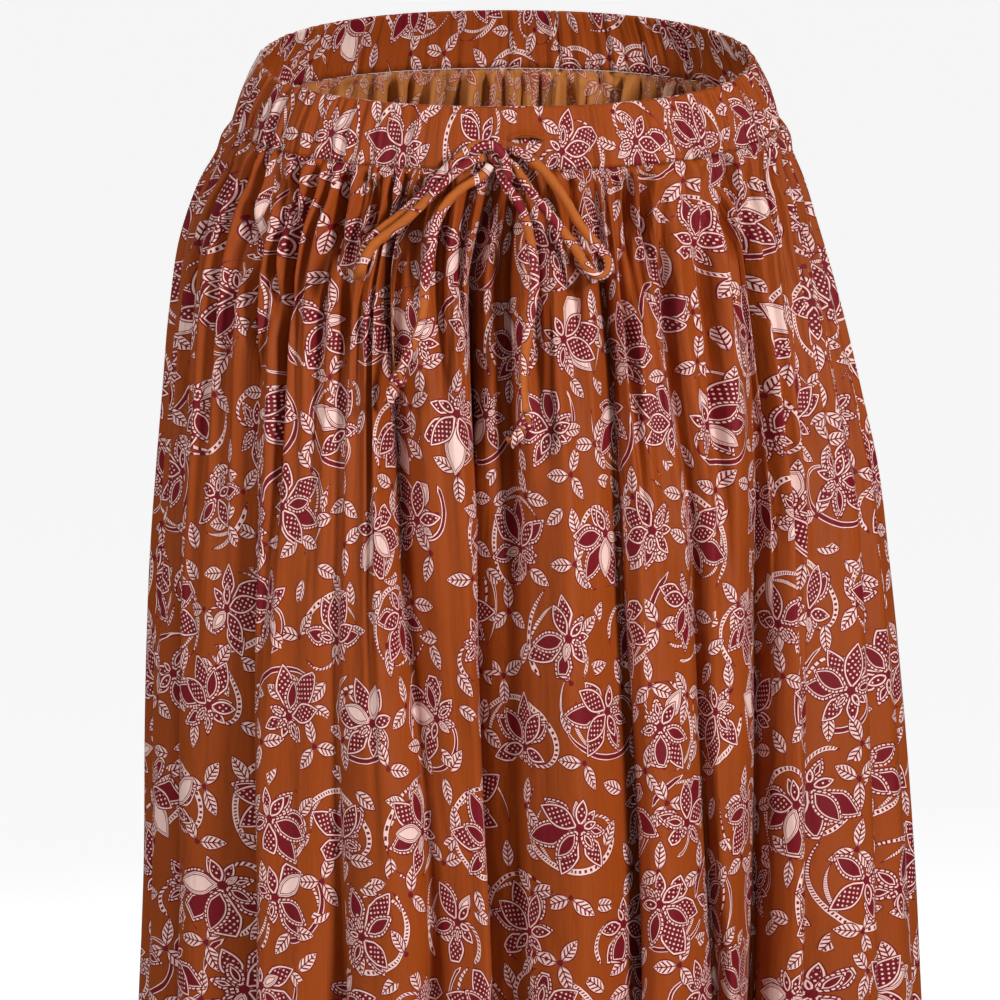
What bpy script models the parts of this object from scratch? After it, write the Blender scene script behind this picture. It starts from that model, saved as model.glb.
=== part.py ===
"""A gathered midi skirt with an elasticated waistband and a drawstring tied in a bow.

Two panels hang from the waistband in folds. Each section of a panel is half of a rounded ring, and the
folds and the gathers are pressed into it. X points to the wearer's left, -Y to the front and Z up, in
metres. The origin is the middle of the waist opening, half way up the waistband at the side seams.
"""

import math
import random
from collections import namedtuple

import bmesh
import bpy
import numpy as np
from mathutils import Vector

# Waistband: a casing folded over the elastic, tighter at the top than at its seam
BAND_HEIGHT = 0.035
BAND_WALL = 0.0028
BAND_RIPPLE = 0.0016
WAIST_SLOPE = 0.205  # the waistband dips in front and rises behind by this much of the depth

# Skirt panels
SKIRT_DROP = 0.745  # from the waistband's seam to the hem
PANEL_WALL = 0.0014
ROUNDNESS = 0.90  # 1 gives elliptic sections, less gives squarer ones
SEAM_GAP = 0.0003
SIDE_SEAM_DIP = 0.003
SIDE_SEAM_SPREAD = 0.012

# Gathers, sewn into the waistband all round
GATHERS = 42  # to a panel
GATHER_SEED = 11
GATHER_UNEVEN = 0.28
STEPS_IN_GATHER = ((0.00, 0.0), (0.36, 1.0), (0.68, 0.8))  # share of its width, share of its depth

# Drawstring: a narrow tube of the same cloth
TIE_WIDTH = 0.0056
LOOP_STEP = 0.0075  # from one point of a loop to the next
END_STEP = 0.012  # the same along the free ends, which turn less
BOW_KNOT_MIDDLE = (-0.0052, -0.1150, -0.0325)
BOW_KNOT_SIZE = (0.0120, 0.0088, 0.0126)
ACROSS_WRAPS = (0.8, 0.0, 0.6)  # its two wraps lie on either side of this axis's middle
GROOVE_DEPTH = 0.16  # between the wraps, as a share of the knot's size
GROOVE_WIDTH = 0.3  # the same
KNOT_RINGS = 10
KNOT_SIDES = 16
END_KNOT_SIDES = 12

RING_STEPS = 721
DIRECTION_STEP = 0.004  # share of a ring over which its direction is read
ROUTE_STEPS = 20  # for each of a route's own points
MITRE_LIMIT = 0.5  # the wall's inner side is at most this many times sharper than its outer side
CRUSH = 3.0  # how firmly the deeper one of two folds that meet takes over

Section = namedtuple("Section", "drop half_width front back middle")
Fold = namedtuple("Fold", "across depth spread lean")

# The waistband, from its top edge down to its seam, over the crests of the ripples
BAND_SECTIONS = (
    Section(-0.0350, 0.1436, 0.1010, 0.1065, 0.0),
    Section(-0.0175, 0.1530, 0.1080, 0.1135, 0.0),
    Section(0.0000, 0.1588, 0.1120, 0.1180, 0.0),
)

# The skirt, over the crests of the folds: the drop below the waistband's seam, the half width, the
# depth in front and behind, and how far the middle has swung to the wearer's left
SECTIONS = (
    Section(0.000, 0.1588, 0.1120, 0.1180, 0.0000),
    Section(0.007, 0.1646, 0.1172, 0.1232, 0.0000),
    Section(0.018, 0.1682, 0.1206, 0.1270, -0.0008),
    Section(0.036, 0.1773, 0.1268, 0.1338, -0.0023),
    Section(0.060, 0.1857, 0.1334, 0.1412, -0.0030),
    Section(0.107, 0.1963, 0.1430, 0.1535, -0.0003),
    Section(0.154, 0.2040, 0.1505, 0.1630, 0.0032),
    Section(0.201, 0.2112, 0.1570, 0.1700, 0.0064),
    Section(0.249, 0.2159, 0.1622, 0.1755, 0.0076),
    Section(0.343, 0.2225, 0.1705, 0.1835, 0.0108),
    Section(0.438, 0.2270, 0.1775, 0.1900, 0.0138),
    Section(0.521, 0.2312, 0.1835, 0.1955, 0.0142),
    Section(0.745, 0.2430, 0.1980, 0.2090, 0.0145),
)

# Rows of points down a panel
PANEL_DROPS = (0.0, 0.006, 0.020, 0.050, 0.090, 0.145, 0.215, 0.310, 0.420, 0.560, SKIRT_DROP)

# How deep the gathers are down the panel
GatherDepth = namedtuple("GatherDepth", "drop depth")
GATHER_DEPTHS = (
    GatherDepth(0.000, 0.0012),
    GatherDepth(0.006, 0.0048),
    GatherDepth(0.050, 0.0052),
    GatherDepth(0.120, 0.0034),
    GatherDepth(0.200, 0.0015),
    GatherDepth(0.310, 0.0000),
)

# The folds run down the panel. At four drops, each has its place across the half width, from -1 at the
# wearer's right side seam to 1 at the left one, and its depth. Its spread is from its valley to where it
# ends on either side, and its lean moves the valley under the ridge on one side.
FOLD_DROPS = (0.06, 0.20, 0.36, 0.55)
FRONT_FOLDS = (
    Fold((-0.992, -0.99, -0.988, -0.985), (0.003, 0.007, 0.012, 0.018), 0.021, 0.3),
    Fold((-0.95, -0.94, -0.93, -0.92), (0.003, 0.006, 0.010, 0.015), 0.021, 0.0),
    Fold((-0.80, -0.78, -0.78, -0.77), (0.006, 0.010, 0.021, 0.034), 0.032, 0.7),
    Fold((-0.67, -0.68, -0.71, -0.70), (0.007, 0.006, 0.002, 0.000), 0.016, 0.2),
    Fold((-0.48, -0.49, -0.50, -0.51), (0.007, 0.004, 0.007, 0.018), 0.026, 0.2),
    Fold((-0.30, -0.29, -0.24, -0.21), (0.012, 0.014, 0.010, 0.020), 0.027, -0.4),
    Fold((-0.15, -0.14, -0.12, -0.10), (0.007, 0.002, 0.000, 0.000), 0.014, 0.0),
    Fold((-0.03, -0.01, 0.00, 0.03), (0.010, 0.021, 0.030, 0.038), 0.034, -0.7),
    Fold((0.29, 0.23, 0.22, 0.20), (0.009, 0.012, 0.017, 0.025), 0.026, 0.6),
    Fold((0.36, 0.34, 0.33, 0.33), (0.006, 0.001, 0.000, 0.000), 0.013, 0.0),
    Fold((0.47, 0.46, 0.44, 0.45), (0.007, 0.007, 0.015, 0.025), 0.025, 0.4),
    Fold((0.64, 0.57, 0.55, 0.55), (0.007, 0.003, 0.000, 0.000), 0.015, 0.0),
    Fold((0.76, 0.66, 0.60, 0.54), (0.009, 0.018, 0.024, 0.031), 0.028, 0.4),
    Fold((0.83, 0.76, 0.72, 0.70), (0.006, 0.004, 0.000, 0.000), 0.015, 0.0),
    Fold((0.91, 0.84, 0.78, 0.73), (0.005, 0.009, 0.017, 0.026), 0.027, -0.6),
    Fold((0.97, 0.95, 0.92, 0.90), (0.003, 0.006, 0.010, 0.015), 0.020, 0.0),
    Fold((0.992, 0.99, 0.987, 0.985), (0.003, 0.007, 0.012, 0.019), 0.021, -0.3),
)
BACK_FOLDS = (
    Fold((-0.992, -0.988, -0.985, -0.98), (0.003, 0.007, 0.012, 0.017), 0.021, -0.3),
    Fold((-0.92, -0.90, -0.88, -0.86), (0.003, 0.008, 0.014, 0.020), 0.024, 0.3),
    Fold((-0.75, -0.71, -0.68, -0.66), (0.008, 0.013, 0.020, 0.029), 0.029, -0.5),
    Fold((-0.57, -0.54, -0.53, -0.52), (0.007, 0.003, 0.000, 0.000), 0.015, 0.0),
    Fold((-0.45, -0.43, -0.42, -0.43), (0.009, 0.015, 0.023, 0.033), 0.031, 0.6),
    Fold((-0.24, -0.22, -0.21, -0.19), (0.007, 0.009, 0.013, 0.019), 0.025, -0.3),
    Fold((-0.11, -0.10, -0.09, -0.08), (0.007, 0.002, 0.000, 0.000), 0.014, 0.0),
    Fold((0.02, 0.03, 0.04, 0.05), (0.009, 0.018, 0.026, 0.035), 0.032, 0.6),
    Fold((0.21, 0.22, 0.25, 0.27), (0.008, 0.010, 0.014, 0.021), 0.025, 0.0),
    Fold((0.38, 0.37, 0.37, 0.37), (0.007, 0.003, 0.000, 0.000), 0.014, 0.0),
    Fold((0.52, 0.50, 0.49, 0.49), (0.009, 0.015, 0.023, 0.033), 0.030, -0.6),
    Fold((0.70, 0.68, 0.68, 0.69), (0.007, 0.009, 0.014, 0.020), 0.024, 0.3),
    Fold((0.87, 0.86, 0.86, 0.87), (0.005, 0.009, 0.014, 0.019), 0.023, 0.0),
    Fold((0.99, 0.987, 0.985, 0.983), (0.003, 0.008, 0.013, 0.019), 0.021, 0.3),
)

# The drawstring's strands, each from the bow's knot, in millimetres
LOOP_ROUTES = {
    "tie_loop_right": (
        (1.7, -114.0, -29.9), (5.0, -114.5, -29.6), (9.2, -116.1, -31.0), (15.0, -118.4, -35.0),
        (21.6, -120.4, -41.0), (28.3, -123.7, -49.3), (34.5, -125.7, -58.7), (40.0, -127.7, -68.1),
        (46.7, -129.5, -76.9), (53.4, -130.7, -84.1), (57.3, -132.1, -90.7), (55.6, -133.6, -97.0),
        (50.0, -134.7, -98.0), (44.4, -134.5, -92.7), (38.9, -133.2, -83.8), (32.7, -131.2, -75.0),
        (26.1, -129.0, -66.8), (19.9, -126.7, -59.2), (13.6, -124.4, -51.5), (8.4, -120.9, -43.6),
        (4.8, -116.5, -38.6), (1.3, -114.4, -36.0),
    ),
    "tie_loop_left": (
        (-10.6, -114.0, -27.4), (-13.5, -114.1, -26.2), (-17.8, -114.8, -27.1), (-23.4, -116.3, -30.9),
        (-30.6, -117.0, -37.0), (-38.2, -118.9, -44.7), (-45.4, -121.1, -52.9), (-53.2, -122.3, -60.1),
        (-61.6, -123.3, -67.3), (-70.0, -124.2, -73.4), (-76.1, -125.0, -78.9), (-80.1, -126.2, -86.1),
        (-82.2, -128.8, -93.7), (-82.9, -133.7, -98.4), (-81.2, -137.8, -94.2), (-78.1, -136.6, -87.0),
        (-74.3, -134.4, -81.0), (-67.6, -132.5, -75.6), (-58.7, -130.7, -69.0), (-50.3, -129.1, -61.8),
        (-42.5, -127.4, -54.1), (-34.7, -124.9, -46.7), (-27.4, -121.4, -40.4), (-21.2, -118.0, -36.0),
        (-16.6, -115.6, -33.8), (-12.6, -114.6, -33.2),
    ),
}
END_ROUTES = {
    "tie_end_left": (
        (-9.1, -115.2, -38.0), (-11.8, -117.0, -41.8), (-17.0, -119.9, -45.6), (-23.5, -121.8, -49.2),
        (-29.4, -123.3, -53.8), (-34.2, -124.9, -59.6), (-37.7, -126.7, -66.4), (-40.3, -129.0, -74.0),
        (-41.6, -131.7, -82.9), (-43.6, -134.2, -92.4), (-45.3, -136.8, -103.1), (-45.8, -139.1, -113.5),
        (-47.5, -141.1, -123.4), (-50.8, -142.8, -133.4), (-55.3, -144.4, -143.3), (-58.5, -145.5, -150.0),
    ),
    "tie_end_right": (
        (-3.5, -115.4, -38.9), (-2.3, -117.7, -43.4), (0.6, -121.8, -49.2), (5.0, -124.5, -55.4),
        (9.0, -126.7, -62.4), (11.8, -129.4, -70.9), (13.8, -132.4, -80.6), (15.7, -135.4, -91.5),
        (15.9, -138.4, -103.5), (14.4, -141.1, -115.0), (12.6, -143.4, -125.4), (11.3, -145.6, -135.9),
        (9.9, -147.8, -146.3), (9.4, -150.1, -157.2), (9.9, -152.2, -166.5), (10.8, -153.6, -172.7),
    ),
}

# The end knots: where the axis of each starts, turns and ends, in millimetres
END_KNOTS = {
    "end_knot_left": ((-58.8, -145.6, -150.6), (-61.9, -146.6, -157.2), (-65.4, -146.4, -168.4)),
    "end_knot_right": ((10.9, -153.7, -173.3), (12.4, -155.9, -182.0), (1.6, -156.2, -190.2)),
}

# Down an end knot: the share of its axis, half its width and its thickness as a share of that
EndKnot = namedtuple("EndKnot", "share half_width thickness")
END_KNOT_PROFILE = (
    EndKnot(0.00, 0.0026, 1.0),
    EndKnot(0.10, 0.0040, 1.0),
    EndKnot(0.24, 0.0051, 0.95),
    EndKnot(0.38, 0.0048, 0.9),
    EndKnot(0.50, 0.0031, 0.9),
    EndKnot(0.70, 0.0032, 0.7),
    EndKnot(1.00, 0.0040, 0.4),
)


def clear_scene():
    for ob in list(bpy.data.objects):
        bpy.data.objects.remove(ob)


def cloth(name, colour, roughness=0.75):
    """A plain woven cotton of one colour."""
    material = bpy.data.materials.new(name)
    material.use_nodes = True
    shader = material.node_tree.nodes["Principled BSDF"]
    shader.inputs["Base Color"].default_value = (*colour, 1.0)
    shader.inputs["Roughness"].default_value = roughness
    shader.inputs["Metallic"].default_value = 0.0
    return material


def add_object(name, data, material):
    ob = bpy.data.objects.new(name, data)
    bpy.context.scene.collection.objects.link(ob)
    data.materials.append(material)
    return ob


def through(table, drop):
    """A table's columns at one drop, on a smooth curve through its rows."""
    rows = np.array(table)
    drops = rows[:, 0]
    slopes = np.gradient(rows, drops, axis=0)
    k = int(np.clip(np.searchsorted(drops, drop) - 1, 0, len(drops) - 2))
    span = drops[k + 1] - drops[k]
    t = (drop - drops[k]) / span
    start = rows[k] * (1 + 2 * t) + slopes[k] * span * t
    end = rows[k + 1] * (3 - 2 * t) + slopes[k + 1] * span * (t - 1)
    return start * (1 - t) ** 2 + end * t**2


class HalfRing:
    """One section of the front or the back, from the side seam at -X to the one at +X."""

    def __init__(self, sections, drop, side):
        section = Section(*through(sections, drop))
        depth = section.front if side < 0 else section.back
        angle = np.linspace(-math.pi / 2, math.pi / 2, RING_STEPS)
        sine = np.sin(angle)
        self.across = np.sign(sine) * np.abs(sine) ** ROUNDNESS
        self.x = section.middle + section.half_width * self.across
        self.y = side * depth * np.clip(np.cos(angle), 0, 1) ** ROUNDNESS
        steps = np.hypot(np.diff(self.x), np.diff(self.y))
        way = np.concatenate(([0], np.cumsum(steps)))
        self.length = way[-1]
        self.share = way / self.length
        self.side = side

    def at(self, share):
        """The place, and the directions out of the ring and along it."""
        place = np.array([np.interp(share, self.share, v) for v in (self.x, self.y)])
        ends = np.clip([share - DIRECTION_STEP, share + DIRECTION_STEP], 0, 1)
        run = np.array([np.diff(np.interp(ends, self.share, v))[0] for v in (self.x, self.y)])
        along = run / np.hypot(*run)
        out = np.array([along[1], -along[0]]) * -self.side
        return place, out, along

    def share_of(self, across):
        return float(np.interp(across, self.across, self.share))


def gather_columns(seed):
    """Where the columns of points lie across a panel, how deep in its gather each is, and which gather."""
    rng = random.Random(seed)
    widths = [1 + rng.uniform(-GATHER_UNEVEN, GATHER_UNEVEN) for _ in range(GATHERS)]
    depths = [1 + rng.uniform(-GATHER_UNEVEN, GATHER_UNEVEN) for _ in range(GATHERS)]
    columns = []
    start = 0.0
    for width, depth in zip(widths, depths):
        for step, dip in STEPS_IN_GATHER:
            columns.append(((start + step * width) / sum(widths), dip * depth))
        start += width
    columns.append((1.0, 0.0))
    return columns


def fold_press(ring, folds, drop, share):
    """How far the folds press a point of the ring in, and how far they carry it along."""
    press = 0.0
    carry = 0.0
    for fold in folds:
        valley = ring.share_of(np.interp(drop, FOLD_DROPS, fold.across))
        depth = np.interp(drop, FOLD_DROPS, fold.depth) * min(1.0, drop / FOLD_DROPS[0])
        away = abs(share - valley) * ring.length / fold.spread
        if away < 1:
            dip = depth * (1 - away) ** 2
            press += dip**CRUSH
            carry += fold.lean * dip
    return press ** (1 / CRUSH), carry


def led_by_folds(folds, drop, side, shares):
    """The columns' places round the section at a drop, led so that one runs down each lasting valley."""
    home_ring = HalfRing(SECTIONS, FOLD_DROPS[2], side)
    ring = HalfRing(SECTIONS, drop, side)
    homes, leads = [0.0], [0.0]
    for fold in folds:
        if fold.depth[-1] > 0:
            home = home_ring.share_of(fold.across[2])
            homes.append(min(shares, key=lambda share: abs(share - home)))
            leads.append(ring.share_of(np.interp(drop, FOLD_DROPS, fold.across)))
    return np.interp(shares, homes + [1.0], leads + [1.0])


def panel_point(ring, folds, drop, share, dip):
    """A point of the panel's outer side, seen from above."""
    place, out, along = ring.at(share)
    to_seam = min(share, 1 - share) * ring.length
    hold = min(1.0, to_seam / SIDE_SEAM_SPREAD)
    press, carry = fold_press(ring, folds, drop, share)
    gather = dip * np.interp(drop, *zip(*GATHER_DEPTHS))
    seam_dip = SIDE_SEAM_DIP * (1 - hold) ** 2 * min(1.0, drop / FOLD_DROPS[0])
    return place - out * (seam_dip + hold * (press + gather)) + along * hold * carry


def waist_dip(share, side):
    """How much lower the tilted waistband is at this place than at the side seams."""
    place, _, _ = HalfRing(SECTIONS, 0.0, side).at(share)
    return WAIST_SLOPE * place[1]


def wall(name, outer, thickness, side, material):
    """A closed wall of cloth from the grid of points of its outer side, row by row from the top."""
    outer = np.array(outer)
    down = np.gradient(outer, axis=0)
    steps = np.diff(outer, axis=1)
    steps /= np.linalg.norm(steps, axis=2, keepdims=True)
    along = (np.concatenate((steps[:, :1], steps), 1) + np.concatenate((steps, steps[:, -1:]), 1)) / 2
    mitre = 1 / np.clip(np.linalg.norm(along, axis=2, keepdims=True), MITRE_LIMIT, 1)
    normal = np.cross(along, down) * side
    normal[[0, -1], :, 2] = 0  # level rims
    normal[:, [0, -1], 1] = 0  # side seams that meet flat
    normal /= np.linalg.norm(normal, axis=2, keepdims=True)
    inner = outer - normal * thickness * mitre
    rows, columns, _ = outer.shape

    bm = bmesh.new()
    front, back = ([[bm.verts.new(p) for p in row] for row in grid] for grid in (outer, inner))
    for i in range(rows - 1):
        for j in range(columns - 1):
            corners = ((i, j), (i + 1, j), (i + 1, j + 1), (i, j + 1))
            rising = np.linalg.norm(outer[i + 1, j] - outer[i, j + 1])
            falling = np.linalg.norm(outer[i, j] - outer[i + 1, j + 1])
            halves = ((0, 1, 3), (1, 2, 3)) if rising < falling else ((0, 1, 2), (0, 2, 3))
            for half in halves:
                bm.faces.new([front[corners[k][0]][corners[k][1]] for k in half])
                bm.faces.new([back[corners[k][0]][corners[k][1]] for k in reversed(half)])
    for i in range(rows - 1):
        for j in (0, columns - 1):
            bm.faces.new((front[i][j], back[i][j], back[i + 1][j], front[i + 1][j]))
    for j in range(columns - 1):
        for i in (0, rows - 1):
            bm.faces.new((front[i][j], front[i][j + 1], back[i][j + 1], back[i][j]))
    bmesh.ops.recalc_face_normals(bm, faces=bm.faces)
    mesh = bpy.data.meshes.new(name)
    bm.to_mesh(mesh)
    bm.free()
    mesh.shade_smooth()
    return add_object(name, mesh, material)


def skirt_panel(name, side, folds, seed, material):
    """A panel from its seam with the waistband down to its hem. side is -1 in front and 1 behind."""
    shares, dips = zip(*gather_columns(seed))
    outer = []
    for drop in PANEL_DROPS:
        ring = HalfRing(SECTIONS, drop, side)
        row = []
        for share, dip in zip(led_by_folds(folds, drop, side, shares), dips):
            x, y = panel_point(ring, folds, drop, share, dip)
            fade = 1 - drop / SKIRT_DROP
            z = -BAND_HEIGHT / 2 - SEAM_GAP - drop + waist_dip(share, side) * fade
            row.append((x, y + side * SEAM_GAP / 2, z))
        outer.append(row)
    return wall(name, outer, PANEL_WALL, side, material)


def waistband_half(name, side, seed, material):
    """Half of the casing, with a ripple over each gather."""
    outer = []
    for section in BAND_SECTIONS:
        ring = HalfRing(BAND_SECTIONS, section.drop, side)
        row = []
        for share, dip in gather_columns(seed):
            place, out, _ = ring.at(share)
            hold = min(1.0, min(share, 1 - share) * ring.length / SIDE_SEAM_SPREAD)
            x, y = place - out * BAND_RIPPLE * dip * hold
            z = -BAND_HEIGHT / 2 - section.drop + waist_dip(share, side)
            row.append((x, y + side * SEAM_GAP / 2, z))
        outer.append(row)
    return wall(name, outer, BAND_WALL, side, material)


def smooth_route(points):
    """Close-set places on a smooth curve through a route's own points, given in millimetres."""
    points = np.array(points) / 1000
    way = np.concatenate(([0], np.cumsum(np.linalg.norm(np.diff(points, axis=0), axis=1))))
    table = np.column_stack((way, points))
    return np.array([through(table, at)[1:] for at in np.linspace(0, way[-1], ROUTE_STEPS * len(points))])


def drawstring_tube(name, route, step, material):
    """A strand of the drawstring, with a point at each step along its route."""
    places = smooth_route(route)
    way = np.concatenate(([0], np.cumsum(np.linalg.norm(np.diff(places, axis=0), axis=1))))
    count = round(way[-1] / step) + 1
    curve = bpy.data.curves.new(name, "CURVE")
    curve.dimensions = "3D"
    curve.bevel_depth = TIE_WIDTH / 2
    curve.bevel_resolution = 2
    curve.use_fill_caps = True
    spline = curve.splines.new("POLY")
    spline.points.add(count - 1)
    for point, at in zip(spline.points, np.linspace(0, way[-1], count)):
        point.co = (*(np.interp(at, way, axis) for axis in places.T), 1.0)
    return add_object(name, curve, material)


def bow_knot(name, material):
    """A small wrapped knot: a flattened ball with a groove between its two slanting wraps."""
    bm = bmesh.new()
    bmesh.ops.create_uvsphere(bm, u_segments=KNOT_SIDES, v_segments=KNOT_RINGS, radius=0.5)
    for vert in bm.verts:
        off_groove = vert.co.normalized().dot(Vector(ACROSS_WRAPS))
        squeeze = 1 - GROOVE_DEPTH * math.exp(-((off_groove / GROOVE_WIDTH) ** 2))
        vert.co = Vector(BOW_KNOT_MIDDLE) + vert.co * Vector(BOW_KNOT_SIZE) * squeeze
    mesh = bpy.data.meshes.new(name)
    bm.to_mesh(mesh)
    bm.free()
    mesh.shade_smooth()
    return add_object(name, mesh, material)


def end_knot(name, axis, material):
    """A knot and the flat end of the drawstring below it, along an axis that bends once."""
    start, turn, end = (Vector(p) / 1000 for p in axis)
    bm = bmesh.new()
    rings = []
    for share, half_width, thickness in END_KNOT_PROFILE:
        middle = start * (1 - share) ** 2 + turn * 2 * share * (1 - share) + end * share**2
        along = ((turn - start) * (1 - share) + (end - turn) * share).normalized()
        wide = along.cross(Vector((0, 1, 0))).normalized() * half_width
        thick = wide.cross(along).normalized() * half_width * thickness
        turns = (2 * math.pi * k / END_KNOT_SIDES for k in range(END_KNOT_SIDES))
        rings.append([bm.verts.new(middle + wide * math.cos(a) + thick * math.sin(a)) for a in turns])
    for upper, lower in zip(rings, rings[1:]):
        for k in range(END_KNOT_SIDES):
            after = (k + 1) % END_KNOT_SIDES
            bm.faces.new((upper[k], upper[after], lower[after], lower[k]))
    bm.faces.new(rings[0])
    bm.faces.new(rings[-1])
    bmesh.ops.recalc_face_normals(bm, faces=bm.faces)
    mesh = bpy.data.meshes.new(name)
    bm.to_mesh(mesh)
    bm.free()
    mesh.shade_smooth()
    return add_object(name, mesh, material)


def build():
    clear_scene()
    panel_cloth = cloth("amber cotton", (0.42, 0.13, 0.03))
    band_cloth = cloth("amber cotton casing", (0.38, 0.11, 0.03))
    for place, side, folds, seed in (
        ("front", -1, FRONT_FOLDS, GATHER_SEED),
        ("back", 1, BACK_FOLDS, GATHER_SEED + 1),
    ):
        skirt_panel(f"skirt_{place}", side, folds, seed, panel_cloth)
        waistband_half(f"waistband_{place}", side, seed, band_cloth)
    tie_cloth = cloth("amber cotton drawstring", (0.45, 0.15, 0.05))
    bow_knot("bow_knot", tie_cloth)
    for name, route in LOOP_ROUTES.items():
        drawstring_tube(name, route, LOOP_STEP, tie_cloth)
    for name, route in END_ROUTES.items():
        drawstring_tube(name, route, END_STEP, tie_cloth)
    for name, axis in END_KNOTS.items():
        end_knot(name, axis, tie_cloth)


build()
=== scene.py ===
"""The looks of a gathered midi skirt with an elasticated waistband and a drawstring tied in a bow.

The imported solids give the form. Each piece of cloth here is a thin shell on its own solid, in metres,
with X to the wearer's left, -Y to the front and Z up. The origin is the middle of the waist opening.
"""

import math
import random
from collections import namedtuple

import bmesh
import bpy
import numpy as np
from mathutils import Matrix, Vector
from mathutils.bvhtree import BVHTree


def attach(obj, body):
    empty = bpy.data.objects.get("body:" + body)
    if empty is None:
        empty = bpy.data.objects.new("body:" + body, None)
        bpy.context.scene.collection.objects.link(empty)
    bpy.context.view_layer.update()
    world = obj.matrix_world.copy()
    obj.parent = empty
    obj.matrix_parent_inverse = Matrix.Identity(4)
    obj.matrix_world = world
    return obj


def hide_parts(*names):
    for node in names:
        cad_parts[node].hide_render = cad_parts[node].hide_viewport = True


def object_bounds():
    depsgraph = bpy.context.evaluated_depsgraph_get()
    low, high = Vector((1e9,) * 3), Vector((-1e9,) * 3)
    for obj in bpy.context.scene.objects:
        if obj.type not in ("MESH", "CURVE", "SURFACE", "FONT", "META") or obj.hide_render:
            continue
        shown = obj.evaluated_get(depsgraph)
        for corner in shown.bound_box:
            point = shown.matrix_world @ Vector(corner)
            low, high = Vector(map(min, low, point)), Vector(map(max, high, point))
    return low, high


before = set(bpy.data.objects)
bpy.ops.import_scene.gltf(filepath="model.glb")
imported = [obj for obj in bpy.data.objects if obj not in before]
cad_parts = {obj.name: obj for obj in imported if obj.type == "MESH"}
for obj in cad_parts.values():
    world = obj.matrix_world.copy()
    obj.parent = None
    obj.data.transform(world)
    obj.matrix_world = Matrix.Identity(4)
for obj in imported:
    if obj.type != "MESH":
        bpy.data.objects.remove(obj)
cad_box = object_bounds()

# Camera, light and floor
# The skirt is seen from a little above the waist, before a pale floor in a white room. A strong softbox
# stands in front of it to one side, weaker ones fill from the other side and from ahead, and one lights
# the back.
AIM = Vector((-0.0035, 0.0, -0.2405))
CAMERA_RISE = math.radians(7)
CAMERA_AWAY = 3.2
VIEW_WIDTH = 0.585  # what the picture spans where the skirt is
SENSOR_WIDTH = 36.0
FLOOR_BELOW_HEM = 0.38  # a midi skirt ends at the calf
FLOOR_SIZE = 160.0
FLOOR_GREY = 0.30
FLOOR_SEEN = 0.90  # how bright the floor looks, and how much light it sheds
FLOOR_LIGHT = 0.02
ROOM_SEEN = 1.0
ROOM_LIGHT = 0.05

camera_data = bpy.data.cameras.new("camera")
camera_data.sensor_width = SENSOR_WIDTH
camera_data.lens = SENSOR_WIDTH * CAMERA_AWAY / VIEW_WIDTH
camera_data.clip_end = FLOOR_SIZE
camera = bpy.data.objects.new("camera", camera_data)
bpy.context.scene.collection.objects.link(camera)
camera.location = AIM + CAMERA_AWAY * Vector((0, -math.cos(CAMERA_RISE), math.sin(CAMERA_RISE)))
camera.rotation_euler = (math.pi / 2 - CAMERA_RISE, 0, 0)
bpy.context.scene.camera = camera
bpy.context.scene.view_settings.view_transform = "Standard"


def soft_light(name, place, width, watts):
    """A square softbox turned to the skirt."""
    data = bpy.data.lights.new(name, "AREA")
    data.size = width
    data.energy = watts
    light = bpy.data.objects.new(name, data)
    bpy.context.scene.collection.objects.link(light)
    light.location = place
    light.rotation_euler = (AIM - Vector(place)).to_track_quat("-Z", "Y").to_euler()


soft_light("softbox_right", (1.9, -2.3, 0.9), 0.7, 90)
soft_light("softbox_left", (-2.4, -1.6, 0.8), 0.8, 42)
soft_light("softbox_front", (0.1, -3.4, 0.9), 1.0, 12)
soft_light("softbox_behind", (-0.9, 2.6, 0.9), 1.4, 62)


def bright_to_the_eye(tree, seen, shed):
    """The room and the floor look white, and shed only a little light on the folds."""
    path = tree.nodes.new("ShaderNodeLightPath")
    choice = tree.nodes.new("ShaderNodeMapRange")
    choice.inputs["To Min"].default_value = shed
    choice.inputs["To Max"].default_value = seen
    tree.links.new(path.outputs["Is Camera Ray"], choice.inputs["Value"])
    return choice.outputs["Result"]


room = bpy.data.worlds.new("white room")
room.use_nodes = True
tree = room.node_tree
tree.nodes["Background"].inputs["Color"].default_value = (1, 1, 1, 1)
tree.links.new(bright_to_the_eye(tree, ROOM_SEEN, ROOM_LIGHT), tree.nodes["Background"].inputs["Strength"])
bpy.context.scene.world = room

bpy.ops.mesh.primitive_plane_add(size=FLOOR_SIZE, location=(0, 0, cad_box[0][2] - FLOOR_BELOW_HEM))
floor = bpy.context.object
floor.name = "floor"
pale = bpy.data.materials.new("pale floor")
pale.use_nodes = True
tree = pale.node_tree
shader = tree.nodes["Principled BSDF"]
shader.inputs["Base Color"].default_value = (FLOOR_GREY, FLOOR_GREY, FLOOR_GREY, 1)
shader.inputs["Roughness"].default_value = 1.0
shader.inputs["Emission Color"].default_value = (1, 1, 1, 1)
tree.links.new(bright_to_the_eye(tree, FLOOR_SEEN, FLOOR_LIGHT), shader.inputs["Emission Strength"])
floor.data.materials.append(pale)

# Printed cotton
# A light plain weave, block printed with flowers in a half drop, stems that wind round them and veined
# leaves, in burgundy and cream on amber. Every piece is cut from it. Its pattern is laid on in millimetres.
AMBER = (0.300, 0.053, 0.0055)
BURGUNDY = (0.17, 0.006, 0.012)
CREAM = (0.86, 0.59, 0.53)

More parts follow.
